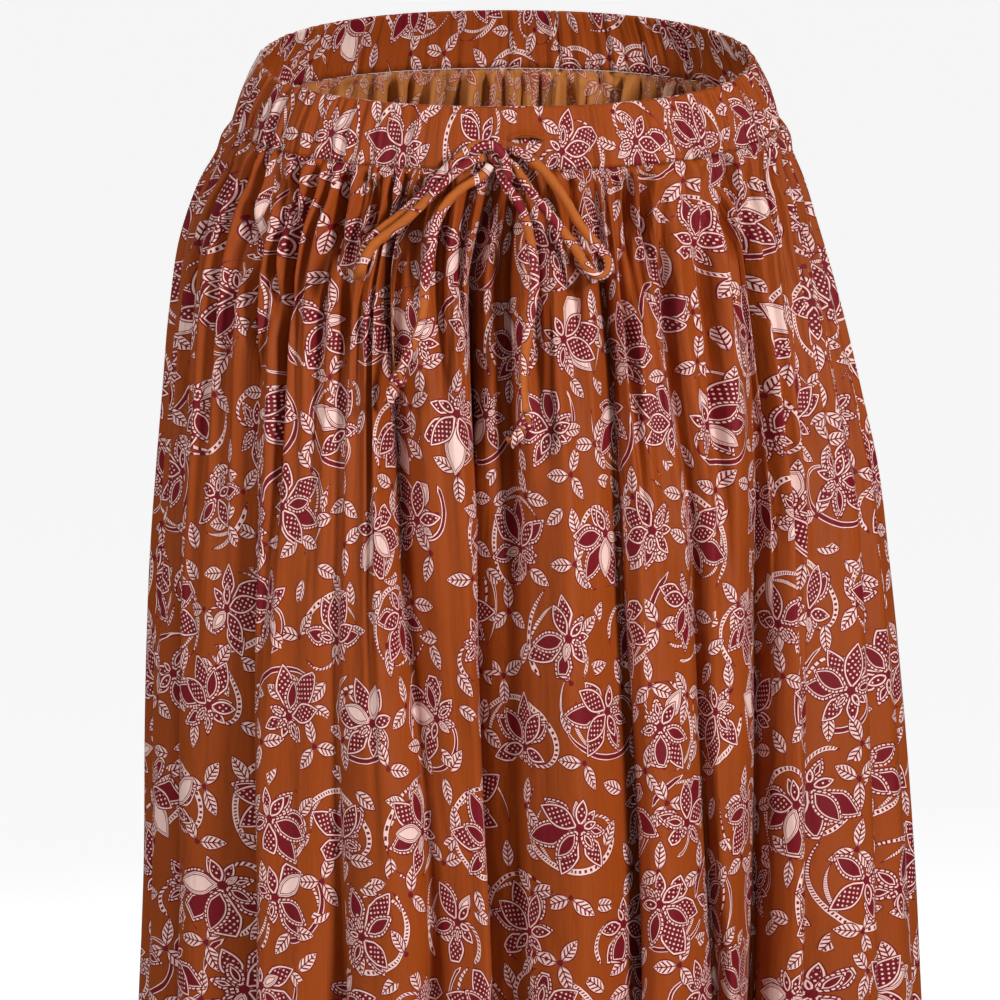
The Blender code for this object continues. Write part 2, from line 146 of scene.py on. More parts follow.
# The print's sizes, in millimetres. A spacing is along a row, and from row to row
FLOWER_SPACING = (62.0, 55.0)
FLOWER_SPREAD = 0.34  # how far the flowers stray from their half drop, as a share of a cell
FLOWER_SUNK = 6.0  # how far the petals' root lies below the middle of the flower
FLOWER_HEART = 2.6
NEIGHBOUR_GAP = 0.3
SINGLE_LEAF_SPACING = (19.0, 19.0)
SINGLE_LEAF_SPREAD = 0.85
SINGLE_LEAF_SHIFT = (11, 5)
CLEAR_OF_FLOWERS = 24.5
CLEAR_OF_SPRIGS = 18.5
SPRIG_SPACING = (41.0, 37.0)
SPRIG_SPREAD = 0.7
SPRIG_SHIFT = (-31, 17)
LEAF_LENGTH = 17.0
LEAF_WIDTH = 9.2
LEAF_STALK_LENGTH = 1.4
SPRIG_HEART = 1.6
OUTLINE = 0.80  # the dark line round every form
DOT_SPACING = 3.7
BEAD_SPACING = 2.4
HOLE_SPACING = 3.4  # along a stem
VEIN_SPACING = 2.9
TURN = 2 * math.pi

# A flower has two rings of petals, one over the other. A petal's fullness is half its width as a share of
# its length, and the lift makes the petals on the upper side longer
Ring = namedtuple("Ring", "petals reach fullness lift")
BACK_RING = Ring(7, 35.0, 0.235, 0.28)
FRONT_RING = Ring(5, 29.0, 0.25, 0.30)
PETALS_LEFT_OUT = 0.16  # of the back ring, as a share

# A stem winds round its flower at a distance that grows and waves, and has a fork between two shares of
# the turn
STEM_AWAY = 25
STEM_OPENS = 11
STEM_WAVE = 3.6
STEM_END = 0.80
FORK_START = 0.48
FORK_END = 0.72


class Amount:
    """A number that changes over the cloth, so that the print's forms can be written as sums."""

    def __init__(self, tree, socket):
        self.tree = tree
        self.socket = socket

    def made(self, operation, *others):
        node = self.tree.nodes.new("ShaderNodeMath")
        node.operation = operation
        for slot, value in zip(node.inputs, (self, *others)):
            if isinstance(value, Amount):
                self.tree.links.new(value.socket, slot)
            else:
                slot.default_value = value
        return Amount(self.tree, node.outputs[0])

    def __add__(self, other):
        return self.made("ADD", other)

    def __sub__(self, other):
        return self.made("SUBTRACT", other)

    def __mul__(self, other):
        return self.made("MULTIPLY", other)

    def __truediv__(self, other):
        return self.made("DIVIDE", other)

    def __abs__(self):
        return self.made("ABSOLUTE")

    __radd__ = __add__
    __rmul__ = __mul__

    def __rsub__(self, other):
        return self * -1 + other

    def sine(self):
        return self.made("SINE")

    def cosine(self):
        return self.made("COSINE")

    def fraction(self):
        return self.made("FRACT")

    def below(self, limit):
        return self.made("LESS_THAN", limit)

    def above(self, limit):
        return self.made("GREATER_THAN", limit)

    def between(self, low, high):
        return self.above(low) * self.below(high)

    def larger(self, other):
        return self.made("MAXIMUM", other)

    def smaller(self, other):
        return self.made("MINIMUM", other)

    def covered_by(self, other, cover):
        """This number, and the other one where cover is 1."""
        return self + (other - self) * cover


def vector_of(tree, *amounts):
    node = tree.nodes.new("ShaderNodeCombineXYZ")
    for slot, value in zip(node.inputs, amounts):
        if isinstance(value, Amount):
            tree.links.new(value.socket, slot)
        else:
            slot.default_value = value
    return node.outputs[0]


def parts_of(tree, socket):
    node = tree.nodes.new("ShaderNodeSeparateXYZ")
    tree.links.new(socket, node.inputs[0])
    return [Amount(tree, out) for out in node.outputs]


def length_of(x, y):
    return (x * x + y * y).made("SQRT")


class Scattered:
    """Motifs scattered over the cloth in cells. Holds the place from the middle of the nearest one, three
    chance numbers of it, and how far it is to the edge of its cell."""

    def __init__(self, tree, across, down, spacing, spread, skew=0.0):
        column = across / spacing[0] + down * (skew / spacing[1])
        row = down / spacing[1]
        cells = {}
        for feature in ("F1", "DISTANCE_TO_EDGE"):
            node = cells[feature] = tree.nodes.new("ShaderNodeTexVoronoi")
            node.voronoi_dimensions = "2D"
            node.feature = feature
            node.inputs["Scale"].default_value = 1.0
            node.inputs["Randomness"].default_value = spread
            tree.links.new(vector_of(tree, column, row), node.inputs["Vector"])
        middle_column, middle_row, _ = parts_of(tree, cells["F1"].outputs["Position"])
        self.y = (row - middle_row) * spacing[1]
        self.x = (column - middle_column - (row - middle_row) * skew) * spacing[0]
        self.luck = parts_of(tree, cells["F1"].outputs["Color"])
        self.edge = Amount(tree, cells["DISTANCE_TO_EDGE"].outputs["Distance"]) * min(spacing)


def chance(tree, *amounts):
    """Three chance numbers, the same wherever the amounts are the same."""
    node = tree.nodes.new("ShaderNodeTexWhiteNoise")
    node.noise_dimensions = "3D"
    tree.links.new(vector_of(tree, *amounts), node.inputs["Vector"])
    return parts_of(tree, node.outputs["Color"])


def sector_of(angle, count):
    """Which of the equal sectors round a middle a place is in, and its angle from the middle of it."""
    place = (angle / TURN).fraction() * count
    which = place.made("FLOOR")
    return which, (place - which - 0.5) * (TURN / count)


def ring_of_petals(tree, radius, angle, key, ring):
    """Pointed petals round a root, longer on one side. Gives how far outside its petal a place is, the
    ways along and beside the petal, and three chance numbers of the petal."""
    count, reach, fullness, lift = ring
    which, off = sector_of(angle, count)
    luck = chance(tree, which, key, count)
    off = off + (luck[1] - 0.5) * (0.9 / count)
    along = radius * off.cosine()
    beside = abs(radius * off.sine())
    top = ((which + 0.5) * (TURN / count)).cosine()
    length = (top * lift + 1 - lift) * (luck[2] * 0.30 + 0.80) * reach
    way = (along / length).larger(0).smaller(1)
    half_width = (way.made("POWER", 1.02) * math.pi).sine().made("POWER", 0.92) * length * fullness
    to_neighbour = radius * (math.pi / count - abs(off)).sine()
    outside = (beside - half_width).larger(along - length).larger(to_neighbour * -1)
    return outside, along, beside, luck


def petal_ink(outside, along, beside, luck):
    """How white the ink is on a petal. It is dotted inside a white rim, or has a dark heart inside a beaded
    one, or is pale inside two fine lines."""
    dots = ((along * (TURN / DOT_SPACING)).cosine() * (beside * (TURN / DOT_SPACING)).cosine()).above(0.55)
    dotted = outside.between(-OUTLINE - 0.95, -OUTLINE) + dots * outside.below(-OUTLINE - 1.6)
    beads = (along * (TURN / BEAD_SPACING)).sine().above(-0.45)
    hearted = outside.between(-OUTLINE - 1.0, -OUTLINE) * beads + outside.between(-3.2, -2.6)
    pale = outside.between(-OUTLINE - 0.6, -OUTLINE) + outside.between(-2.3, -1.7) + outside.below(-2.8)
    return dotted.covered_by(hearted, luck[0].above(0.48)).covered_by(pale, luck[0].above(0.90))


def leaf(along, beside, length, width):
    """A pointed leaf. Gives how far outside it a place is, and how white its ink is."""
    way = (along / length + 0.5).larger(0).smaller(1)
    half_width = (way.made("POWER", 0.85) * math.pi).sine().made("POWER", 0.80) * (width / 2)
    outside = (abs(beside) - half_width).larger(abs(along) - length / 2)
    side_vein = ((along - abs(beside) * 0.9) / VEIN_SPACING).fraction().below(0.40) * outside.below(-1.1)
    midrib = abs(beside).below(0.36) * along.below(length * 0.33)
    return outside, outside.below(-OUTLINE) * (1 - side_vein.larger(midrib))


def flower_print():
    """The printed flowers, stems and leaves as a node group, from a place on the cloth in metres."""
    tree = bpy.data.node_groups.new("flower_print", "ShaderNodeTree")
    tree.interface.new_socket("Place", in_out="INPUT", socket_type="NodeSocketVector")
    for name in ("Ground", "Dark ink", "Pale ink"):
        tree.interface.new_socket(name, in_out="INPUT", socket_type="NodeSocketColor")
    tree.interface.new_socket("Colour", in_out="OUTPUT", socket_type="NodeSocketColor")
    given = tree.nodes.new("NodeGroupInput")
    result = tree.nodes.new("NodeGroupOutput")
    across, down, _ = (part * 1000 for part in parts_of(tree, given.outputs["Place"]))

    # Flowers stand in a half drop, each turned its own way. Their petals grow from a root below the middle,
    # and both rings of them are cut short where they meet a neighbour's
    flower = Scattered(tree, across, down, FLOWER_SPACING, FLOWER_SPREAD, skew=0.5)
    turned = flower.luck[0] * TURN
    x = flower.x + turned.cosine() * FLOWER_SUNK
    y = flower.y + turned.sine() * FLOWER_SUNK
    radius = length_of(x, y)
    angle = y.made("ARCTAN2", x) - turned
    crowded = NEIGHBOUR_GAP - flower.edge
    back = ring_of_petals(tree, radius, angle, flower.luck[1], BACK_RING)
    front = ring_of_petals(tree, radius, angle + 0.5, flower.luck[2], FRONT_RING)
    grown = back[3][2].above(PETALS_LEFT_OUT)
    petals = [
        (back[0].larger(crowded), grown, *back[1:]),
        (front[0].larger(crowded), 1.0, *front[1:]),
    ]

    # A stem leaves each root on its lower side and winds round the flower, with a fork near its end. The
    # wind is 0 at the root and 1 a whole turn further, and the path is the stem's way out from the root
    mirrored = flower.luck[2].above(0.5) * 2 - 1
    wind = (angle * mirrored / TURN + 0.5 + flower.luck[1] * 0.12).fraction()
    fade = (wind * -8).made("EXPONENT")
    wave = (wind * 12 + flower.luck[0] * 20).sine()
    path = (1 - fade) * STEM_AWAY + wind * STEM_OPENS + wave * STEM_WAVE
    slope = fade * 38 + 1.5
    straight = radius / length_of(radius, slope)
    taper = (wind * (math.pi / 0.84) + 0.18).sine().larger(0)
    stem_half = (taper * 1.9 + 0.45).smaller(flower.edge * 0.5)
    off_stem = abs(radius - path) * straight
    fork_half = ((wind * (math.pi / 0.24) - 6.28).sine().larger(0) * 1.3 + 0.2).smaller(flower.edge * 0.5)
    off_fork = abs(radius - path + (wind - FORK_START) * 46)
    on_fork = off_fork.below(fork_half) * wind.between(FORK_START, FORK_END)
    on_stem = off_stem.below(stem_half) * wind.below(STEM_END)
    run = wind * path * (TURN * TURN / HOLE_SPACING)
    holes = run.sine().above(0.1) * off_stem.below(0.85)
    banded = off_stem.below(stem_half - 0.5) * (1 - holes)
    doubled = (stem_half - off_stem).between(0.45, 1.05)
    stem_white = banded.covered_by(doubled, flower.luck[1].above(0.62))
    fork_white = off_fork.below(fork_half - 0.45) * (1 - (run * 1.3).sine().above(0.55))

    # Veined leaves lie in the ground between the flowers, one by one and in sprigs of two or three
    def sprigs(across, down):
        return Scattered(tree, across + SPRIG_SHIFT[0], down + SPRIG_SHIFT[1], SPRIG_SPACING, SPRIG_SPREAD)

    single = Scattered(
        tree,
        across + SINGLE_LEAF_SHIFT[0],
        down + SINGLE_LEAF_SHIFT[1],
        SINGLE_LEAF_SPACING,
        SINGLE_LEAF_SPREAD,
    )
    lie = single.luck[0] * TURN
    single_across, single_down = across - single.x, down - single.y
    near_flower = Scattered(tree, single_across, single_down, FLOWER_SPACING, FLOWER_SPREAD, skew=0.5)
    near_sprig = sprigs(single_across, single_down)
    clear = length_of(near_flower.x, near_flower.y).above(CLEAR_OF_FLOWERS)
    clear = clear * length_of(near_sprig.x, near_sprig.y).above(CLEAR_OF_SPRIGS)
    sprig = sprigs(across, down)
    which, off = sector_of(sprig.y.made("ARCTAN2", sprig.x) + sprig.luck[0] * TURN, 3)
    sprig_radius = length_of(sprig.x, sprig.y)
    in_sprig = sprig_radius.below(LEAF_LENGTH + 1.5)
    toss = chance(tree, which, sprig.luck[1], 5)
    along = single.x * lie.cosine() + single.y * lie.sine()
    beside = single.y * lie.cosine() - single.x * lie.sine()
    along_sprig = sprig_radius * off.cosine() - LEAF_LENGTH / 2 - LEAF_STALK_LENGTH
    beside_sprig = sprig_radius * off.sine()
    leaf_out, leaf_white = leaf(
        along.covered_by(along_sprig, in_sprig),
        beside.covered_by(beside_sprig, in_sprig),
        LEAF_LENGTH,
        LEAF_WIDTH,
    )
    stalk = in_sprig * sprig_radius.below(SPRIG_HEART)
    on_leaf = leaf_out.below(0) * clear.covered_by(toss[0].below(0.85), in_sprig)

    ink = on_stem.larger(on_fork)
    white = (stem_white * on_stem).covered_by(fork_white, on_fork * (1 - on_stem))
    layers = [(on_leaf.larger(stalk), leaf_white * (1 - stalk))]
    for outside, shown, along, beside, luck in petals:
        layers.append((outside.below(0.0) * shown, petal_ink(outside, along, beside, luck)))
    layers.append((radius.below(FLOWER_HEART), radius.below(0)))
    for cover, layer_white in layers:
        white = white.covered_by(layer_white, cover)
        ink = ink.larger(cover)

    inked = tree.nodes.new("ShaderNodeMix")
    inked.data_type = "RGBA"
    tree.links.new(white.socket, inked.inputs["Factor"])
    tree.links.new(given.outputs["Dark ink"], inked.inputs["A"])
    tree.links.new(given.outputs["Pale ink"], inked.inputs["B"])
    printed = tree.nodes.new("ShaderNodeMix")
    printed.data_type = "RGBA"
    tree.links.new(ink.socket, printed.inputs["Factor"])
    tree.links.new(given.outputs["Ground"], printed.inputs["A"])
    tree.links.new(inked.outputs["Result"], printed.inputs["B"])
    tree.links.new(printed.outputs["Result"], result.inputs["Colour"])
    return tree


PRINT = flower_print()

COTTON_ROUGHNESS = 0.58
COTTON_GLOSS = 0.12
COTTON_SHEEN = 0.01
COTTON_CRINKLE = 0.0017
GATHERS_SMOOTH_OUT = 0.30  # how far down the panels the fine crinkles have nearly gone


def printed_cotton(name, ground=AMBER, dark=BURGUNDY, pale=CREAM, crinkle=COTTON_CRINKLE):
    """The cotton's finish, read from a piece's own map of the flat cloth, which is in metres."""
    material = bpy.data.materials.new(name)
    material.use_nodes = True
    tree = material.node_tree
    shader = tree.nodes["Principled BSDF"]
    shader.inputs["Roughness"].default_value = COTTON_ROUGHNESS
    shader.inputs["Specular IOR Level"].default_value = COTTON_GLOSS
    shader.inputs["Sheen Weight"].default_value = COTTON_SHEEN
    flat = tree.nodes.new("ShaderNodeUVMap")
    flat.uv_map = "cloth"
    ink = tree.nodes.new("ShaderNodeGroup")
    ink.node_tree = PRINT
    tree.links.new(flat.outputs["UV"], ink.inputs["Place"])
    for socket, colour in (("Ground", ground), ("Dark ink", dark), ("Pale ink", pale)):
        ink.inputs[socket].default_value = (*colour, 1)

    def noise(across, down, detail, rough):
        """Noise drawn out along the warp: its size across and down the cloth is in millimetres."""
        sized = tree.nodes.new("ShaderNodeMapping")
        sized.inputs["Scale"].default_value = (1000 / across, 1000 / down, 1)
        tree.links.new(flat.outputs["UV"], sized.inputs["Vector"])
        node = tree.nodes.new("ShaderNodeTexNoise")
        node.noise_dimensions = "2D"
        node.inputs["Scale"].default_value = 1.0
        node.inputs["Detail"].default_value = detail
        node.inputs["Roughness"].default_value = rough
        tree.links.new(sized.outputs["Vector"], node.inputs["Vector"])
        return Amount(tree, node.outputs["Fac"])

    # slubs in the yarn and uneven dye make the colour a little lighter and darker
    slubs = noise(1.1, 22, 2, 0.6)
    dye = noise(60, 90, 2, 0.5)
    shade = slubs * 0.22 + dye * 0.20 + 0.79
    dyed = tree.nodes.new("ShaderNodeMix")
    dyed.data_type = "RGBA"
    dyed.blend_type = "MULTIPLY"
    dyed.inputs["Factor"].default_value = 1.0
    tree.links.new(ink.outputs["Colour"], dyed.inputs["A"])
    tree.links.new(vector_of(tree, shade, shade, shade), dyed.inputs["B"])
    tree.links.new(dyed.outputs["Result"], shader.inputs["Base Color"])

    # fine crinkles run down from the gathers, and the weave roughens them
    _, down, _ = parts_of(tree, flat.outputs["UV"])
    near_waist = (down * (1 / GATHERS_SMOOTH_OUT) + 1).larger(0.30).smaller(1)
    fine, broad = noise(5.5, 42, 3, 0.55), noise(17, 70, 2, 0.5)
    folds = fine * near_waist + broad * 1.2
    weave = noise(0.7, 0.7, 1, 0.5) * 0.05
    bump = tree.nodes.new("ShaderNodeBump")
    bump.inputs["Distance"].default_value = crinkle
    bump.inputs["Strength"].default_value = 0.9
    tree.links.new((folds + weave).socket, bump.inputs["Height"])
    tree.links.new(bump.outputs["Normal"], shader.inputs["Normal"])
    return material


right_side = printed_cotton("printed cotton")
wrong_side = printed_cotton(
    "printed cotton, wrong side",
    ground=(0.42, 0.15, 0.035),
    dark=(0.30, 0.06, 0.035),
    pale=(0.56, 0.34, 0.22),
)


def cloth_piece(name, mesh_data, *materials):
    """A finished piece of cloth at the origin, which rides on the skirt's one body."""
    piece = bpy.data.objects.new(name, mesh_data)
    bpy.context.scene.collection.objects.link(piece)
    for material in materials:
        mesh_data.materials.append(material)
    mesh_data.shade_smooth()
    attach(piece, "root")
    return piece


def grid_mesh(name, points, flat_places):
    """A mesh through a grid of points, row by row, with the flat cloth's map."""
    rows, columns, _ = points.shape
    verts = points.reshape(-1, 3)
    i, j = np.meshgrid(np.arange(rows - 1), np.arange(columns - 1), indexing="ij")
    corners = np.stack(
        (i * columns + j, (i + 1) * columns + j, (i + 1) * columns + j + 1, i * columns + j + 1), axis=-1
    ).reshape(-1, 4)
    data = bpy.data.meshes.new(name)
    data.from_pydata(verts.tolist(), [], corners.tolist())
    layer = data.uv_layers.new(name="cloth")
    at_corners = flat_places.reshape(-1, 2)[corners.reshape(-1)]
    layer.data.foreach_set("uv", at_corners.astype(np.float32).ravel())
    return data


# Skirt panels
# The front and the back are two plain lengths of the cotton, gathered into the waistband and joined at
# the sides. They hang in folds, each running from the gathers to the hem, which is turned up and stitched.
BAND_HEIGHT = 0.035
WAIST_SLOPE = 0.205  # the waistband dips in front and rises behind by this much of the depth
SKIRT_DROP = 0.745  # from the waistband's seam to the hem
PANEL_WIDTH = 1.04  # the flat cloth of each panel, from side seam to side seam
CLOTH_WALL = 0.0008
HEM_GAP = 0.0020  # between the cloth's outer side and the turned-up edge behind it
ROUNDNESS = 0.90  # 1 gives elliptic sections, less gives squarer ones
SEAM_GAP = 0.0003  # between the pieces that a seam joins
SIDE_SEAM_DIP = 0.003
SIDE_SEAM_SPREAD = 0.012
CRUSH = 3.0  # how firmly the deeper one of two folds that meet takes over
FOLD_ROUND = 0.85  # of a fold's depth, how much is its round form and how much its narrow slit
FOLD_SLIT = 1.15
FOLD_EASE = 0.03  # rounds the bottom of the slit
ROWS = 104
ROWS_EVEN = 0.4  # the rest of the rows' spacing grows from the waist to the hem
COLUMNS = 431
RING_STEPS = 721
DIRECTION_STEP = 0.004  # share of a ring over which its direction is read

Section = namedtuple("Section", "drop half_width front back middle")
Fold = namedtuple("Fold", "across depth spread lean")

# The skirt, over the crests of the folds: the drop below the waistband's seam, the half width, the
# depth in front and behind, and how far the middle has swung to the wearer's left
SECTIONS = (
    Section(0.000, 0.1588, 0.1120, 0.1180, 0.0000),
    Section(0.007, 0.1646, 0.1172, 0.1232, 0.0000),
    Section(0.018, 0.1682, 0.1206, 0.1270, -0.0008),
    Section(0.036, 0.1773, 0.1268, 0.1338, -0.0023),
    Section(0.060, 0.1857, 0.1334, 0.1412, -0.0030),
    Section(0.107, 0.1963, 0.1430, 0.1535, -0.0003),
    Section(0.154, 0.2040, 0.1505, 0.1630, 0.0032),
    Section(0.201, 0.2112, 0.1570, 0.1700, 0.0064),
    Section(0.249, 0.2159, 0.1622, 0.1755, 0.0076),
    Section(0.343, 0.2225, 0.1705, 0.1835, 0.0108),
    Section(0.438, 0.2270, 0.1775, 0.1900, 0.0138),
    Section(0.521, 0.2312, 0.1835, 0.1955, 0.0142),
    Section(0.745, 0.2430, 0.1980, 0.2090, 0.0145),
)

# The folds run down the panel. At four drops, each has its place across the half width, from -1 at the
# wearer's right side seam to 1 at the left one, and its depth. Its spread is from its valley to where it
# ends on either side, and its lean moves the valley under the ridge on one side.
FOLD_DROPS = (0.06, 0.20, 0.36, 0.55)
FRONT_FOLDS = (
    Fold((-0.992, -0.99, -0.988, -0.985), (0.003, 0.007, 0.012, 0.018), 0.021, 0.3),
    Fold((-0.95, -0.94, -0.93, -0.92), (0.003, 0.006, 0.010, 0.015), 0.021, 0.0),
    Fold((-0.80, -0.78, -0.78, -0.77), (0.006, 0.010, 0.021, 0.034), 0.032, 0.7),
    Fold((-0.67, -0.68, -0.71, -0.70), (0.007, 0.006, 0.002, 0.000), 0.016, 0.2),
    Fold((-0.48, -0.49, -0.50, -0.51), (0.007, 0.004, 0.007, 0.018), 0.026, 0.2),
    Fold((-0.30, -0.29, -0.24, -0.21), (0.012, 0.014, 0.010, 0.020), 0.027, -0.4),
    Fold((-0.15, -0.14, -0.12, -0.10), (0.007, 0.002, 0.000, 0.000), 0.014, 0.0),
    Fold((-0.03, -0.01, 0.00, 0.03), (0.010, 0.021, 0.030, 0.038), 0.034, -0.7),
    Fold((0.29, 0.23, 0.22, 0.20), (0.009, 0.012, 0.017, 0.025), 0.026, 0.6),
    Fold((0.36, 0.34, 0.33, 0.33), (0.006, 0.001, 0.000, 0.000), 0.013, 0.0),
    Fold((0.47, 0.46, 0.44, 0.45), (0.007, 0.007, 0.015, 0.025), 0.025, 0.4),
    Fold((0.64, 0.57, 0.55, 0.55), (0.007, 0.003, 0.000, 0.000), 0.015, 0.0),
    Fold((0.76, 0.66, 0.60, 0.54), (0.009, 0.018, 0.024, 0.031), 0.028, 0.4),
    Fold((0.83, 0.76, 0.72, 0.70), (0.006, 0.004, 0.000, 0.000), 0.015, 0.0),
    Fold((0.91, 0.84, 0.78, 0.73), (0.005, 0.009, 0.017, 0.026), 0.027, -0.6),
    Fold((0.97, 0.95, 0.92, 0.90), (0.003, 0.006, 0.010, 0.015), 0.020, 0.0),
    Fold((0.992, 0.99, 0.987, 0.985), (0.003, 0.007, 0.012, 0.019), 0.021, -0.3),
)
BACK_FOLDS = (
    Fold((-0.992, -0.988, -0.985, -0.98), (0.003, 0.007, 0.012, 0.017), 0.021, -0.3),
    Fold((-0.92, -0.90, -0.88, -0.86), (0.003, 0.008, 0.014, 0.020), 0.024, 0.3),
    Fold((-0.75, -0.71, -0.68, -0.66), (0.008, 0.013, 0.020, 0.029), 0.029, -0.5),
    Fold((-0.57, -0.54, -0.53, -0.52), (0.007, 0.003, 0.000, 0.000), 0.015, 0.0),
    Fold((-0.45, -0.43, -0.42, -0.43), (0.009, 0.015, 0.023, 0.033), 0.031, 0.6),
    Fold((-0.24, -0.22, -0.21, -0.19), (0.007, 0.009, 0.013, 0.019), 0.025, -0.3),
    Fold((-0.11, -0.10, -0.09, -0.08), (0.007, 0.002, 0.000, 0.000), 0.014, 0.0),
    Fold((0.02, 0.03, 0.04, 0.05), (0.009, 0.018, 0.026, 0.035), 0.032, 0.6),
    Fold((0.21, 0.22, 0.25, 0.27), (0.008, 0.010, 0.014, 0.021), 0.025, 0.0),
    Fold((0.38, 0.37, 0.37, 0.37), (0.007, 0.003, 0.000, 0.000), 0.014, 0.0),
    Fold((0.52, 0.50, 0.49, 0.49), (0.009, 0.015, 0.023, 0.033), 0.030, -0.6),
    Fold((0.70, 0.68, 0.68, 0.69), (0.007, 0.009, 0.014, 0.020), 0.024, 0.3),
    Fold((0.87, 0.86, 0.86, 0.87), (0.005, 0.009, 0.014, 0.019), 0.023, 0.0),
    Fold((0.99, 0.987, 0.985, 0.983), (0.003, 0.008, 0.013, 0.019), 0.021, 0.3),
)

# Gathers, sewn into the waistband all round, with finer ones between them. The depths of both change with
# the drop, and the steps are a share of a gather's width and a share of its depth
GATHERS = 42
GATHER_SEED = 11
GATHER_UNEVEN = 0.28
STEPS_IN_GATHER = ((0.00, 0.0), (0.36, 1.0), (0.68, 0.8))
GATHER_STEEP = 1.7
GATHER_DEPTHS = (
    (0.0, 0.0016), (0.006, 0.0078), (0.04, 0.0108), (0.10, 0.0088),
    (0.18, 0.0052), (0.31, 0.0014), (0.40, 0.0),
)
FINE_GATHERS = 88
FINE_GATHER_DEPTHS = ((0.0, 0.0004), (0.004, 0.0030), (0.03, 0.0028), (0.08, 0.0015), (0.18, 0.0))
GATHERS_PART = 0.02  # from this drop on, each gather lasts as long as its own length

# At the waistband's seam the elastic draws the panels and the casing in alike
BAND_RIPPLE = 0.0030
FINE_RIPPLES = ((57, 0.20), (71, 0.14), (96, 0.09))  # how many, and how deep as a share of the ripples
FRONT_MIDDLE_SPREAD = 0.16
SMOOTH_IN_FRONT = 0.55  # how much of the ripples is missing in the middle of the front
SMOOTH_BEHIND = 0.25  # the part of that which is missing all along the back
SEAM_EASE = 0.004  # how soon below the seam the gathers take over
PANEL_TUCK = 0.0005  # how far the panel's top lies inside the casing's edge


def through(table, drop):
    """A table's columns at one drop, on a smooth curve through its rows."""
    rows = np.array(table)
    drops = rows[:, 0]
    slopes = np.gradient(rows, drops, axis=0)
    k = int(np.clip(np.searchsorted(drops, drop) - 1, 0, len(drops) - 2))
    span = drops[k + 1] - drops[k]
    t = (drop - drops[k]) / span
    start = rows[k] * (1 + 2 * t) + slopes[k] * span * t
    end = rows[k + 1] * (3 - 2 * t) + slopes[k + 1] * span * (t - 1)
    return start * (1 - t) ** 2 + end * t**2


def eased(drop, values):
    """A fold's place or depth at a drop, with no kink at the drops of the table."""
    drop = min(max(drop, FOLD_DROPS[0]), FOLD_DROPS[-1])
    return float(through(np.column_stack((FOLD_DROPS, values)), drop)[1])


class HalfRing:
    """One section of the front or the back, from the side seam at -X to the one at +X."""

    def __init__(self, sections, drop, side):
        section = Section(*through(sections, drop))
        depth = section.front if side < 0 else section.back
        angle = np.linspace(-math.pi / 2, math.pi / 2, RING_STEPS)
        sine = np.sin(angle)
        self.across = np.sign(sine) * np.abs(sine) ** ROUNDNESS
        self.x = section.middle + section.half_width * self.across
        self.y = side * depth * np.clip(np.cos(angle), 0, 1) ** ROUNDNESS
        way = np.concatenate(([0], np.cumsum(np.hypot(np.diff(self.x), np.diff(self.y)))))
        self.length = way[-1]
        self.share = way / self.length
        self.side = side

    def at(self, shares):
        """The places, and the directions out of the ring and along it, at some shares of its length."""
        place = np.column_stack([np.interp(shares, self.share, v) for v in (self.x, self.y)])
        low, high = (np.clip(shares + step, 0, 1) for step in (-DIRECTION_STEP, DIRECTION_STEP))
        run = np.column_stack(
            [np.interp(high, self.share, v) - np.interp(low, self.share, v) for v in (self.x, self.y)]
        )
        along = run / np.hypot(*run.T)[:, None]
        out = np.column_stack((along[:, 1], -along[:, 0])) * -self.side
        return place, out, along

    def share_of(self, across):
        return float(np.interp(across, self.across, self.share))


def gather_wave(seed, shares, count=GATHERS):
    """How deep in its gather each place across a panel is, and how far down that gather lasts."""
    rng = random.Random(seed)
    widths = [1 + rng.uniform(-GATHER_UNEVEN, GATHER_UNEVEN) for _ in range(count)]
    depths = [1 + rng.uniform(-GATHER_UNEVEN, GATHER_UNEVEN) for _ in range(count)]
    lasts = [rng.uniform(0.55, 1.5) for _ in range(count)]
    places, dips, reach = [], [], []
    start = 0.0
    for width, depth, last in zip(widths, depths, lasts):
        for step, dip in STEPS_IN_GATHER:
            places.append((start + step * width) / sum(widths))
            dips.append(dip * depth)
            reach.append(last)
        start += width
    fine = np.linspace(0, 1, 4001)
    wave = np.interp(fine, places + [1.0], dips + [0.0])
    # rounded off over a quarter of a gather
    half = round(11 * GATHERS / count)
    kernel = np.hanning(2 * half + 1)
    wave = np.convolve(np.pad(wave, half, mode="edge"), kernel / kernel.sum(), mode="valid")
    return np.interp(shares, fine, wave), np.interp(shares, places, reach)


def led_by_folds(folds, drop, side, shares):
    """The columns' places round the section at a drop, led so that one runs down each lasting valley."""
    home_ring = HalfRing(SECTIONS, FOLD_DROPS[2], side)
    ring = HalfRing(SECTIONS, drop, side)
    homes, leads = [0.0], [0.0]
    for fold in folds:
        if fold.depth[-1] > 0:
            home = home_ring.share_of(fold.across[2])
            homes.append(shares[np.abs(shares - home).argmin()])
            leads.append(ring.share_of(eased(drop, fold.across)))
    return np.interp(shares, homes + [1.0], leads + [1.0])


def fold_press(ring, folds, drop, shares):
    """How far the folds press the ring in, and how far they carry it along."""
    press = np.zeros_like(shares)
    carry = np.zeros_like(shares)
    for fold in folds:
        valley = ring.share_of(eased(drop, fold.across))
        depth = max(0.0, eased(drop, fold.depth)) * min(1.0, drop / FOLD_DROPS[0])
        away = np.hypot((shares - valley) * ring.length / fold.spread, FOLD_EASE)
        near = np.clip(1 - away, 0, 1)
        # round on its ridges, with a narrow slit where the cloth meets in the valley
        dip = depth * (FOLD_ROUND * near**2 + FOLD_SLIT * (1 - np.sqrt(1 - near**2)))
        press += dip**CRUSH
        carry += fold.lean * dip
    return press ** (1 / CRUSH), carry


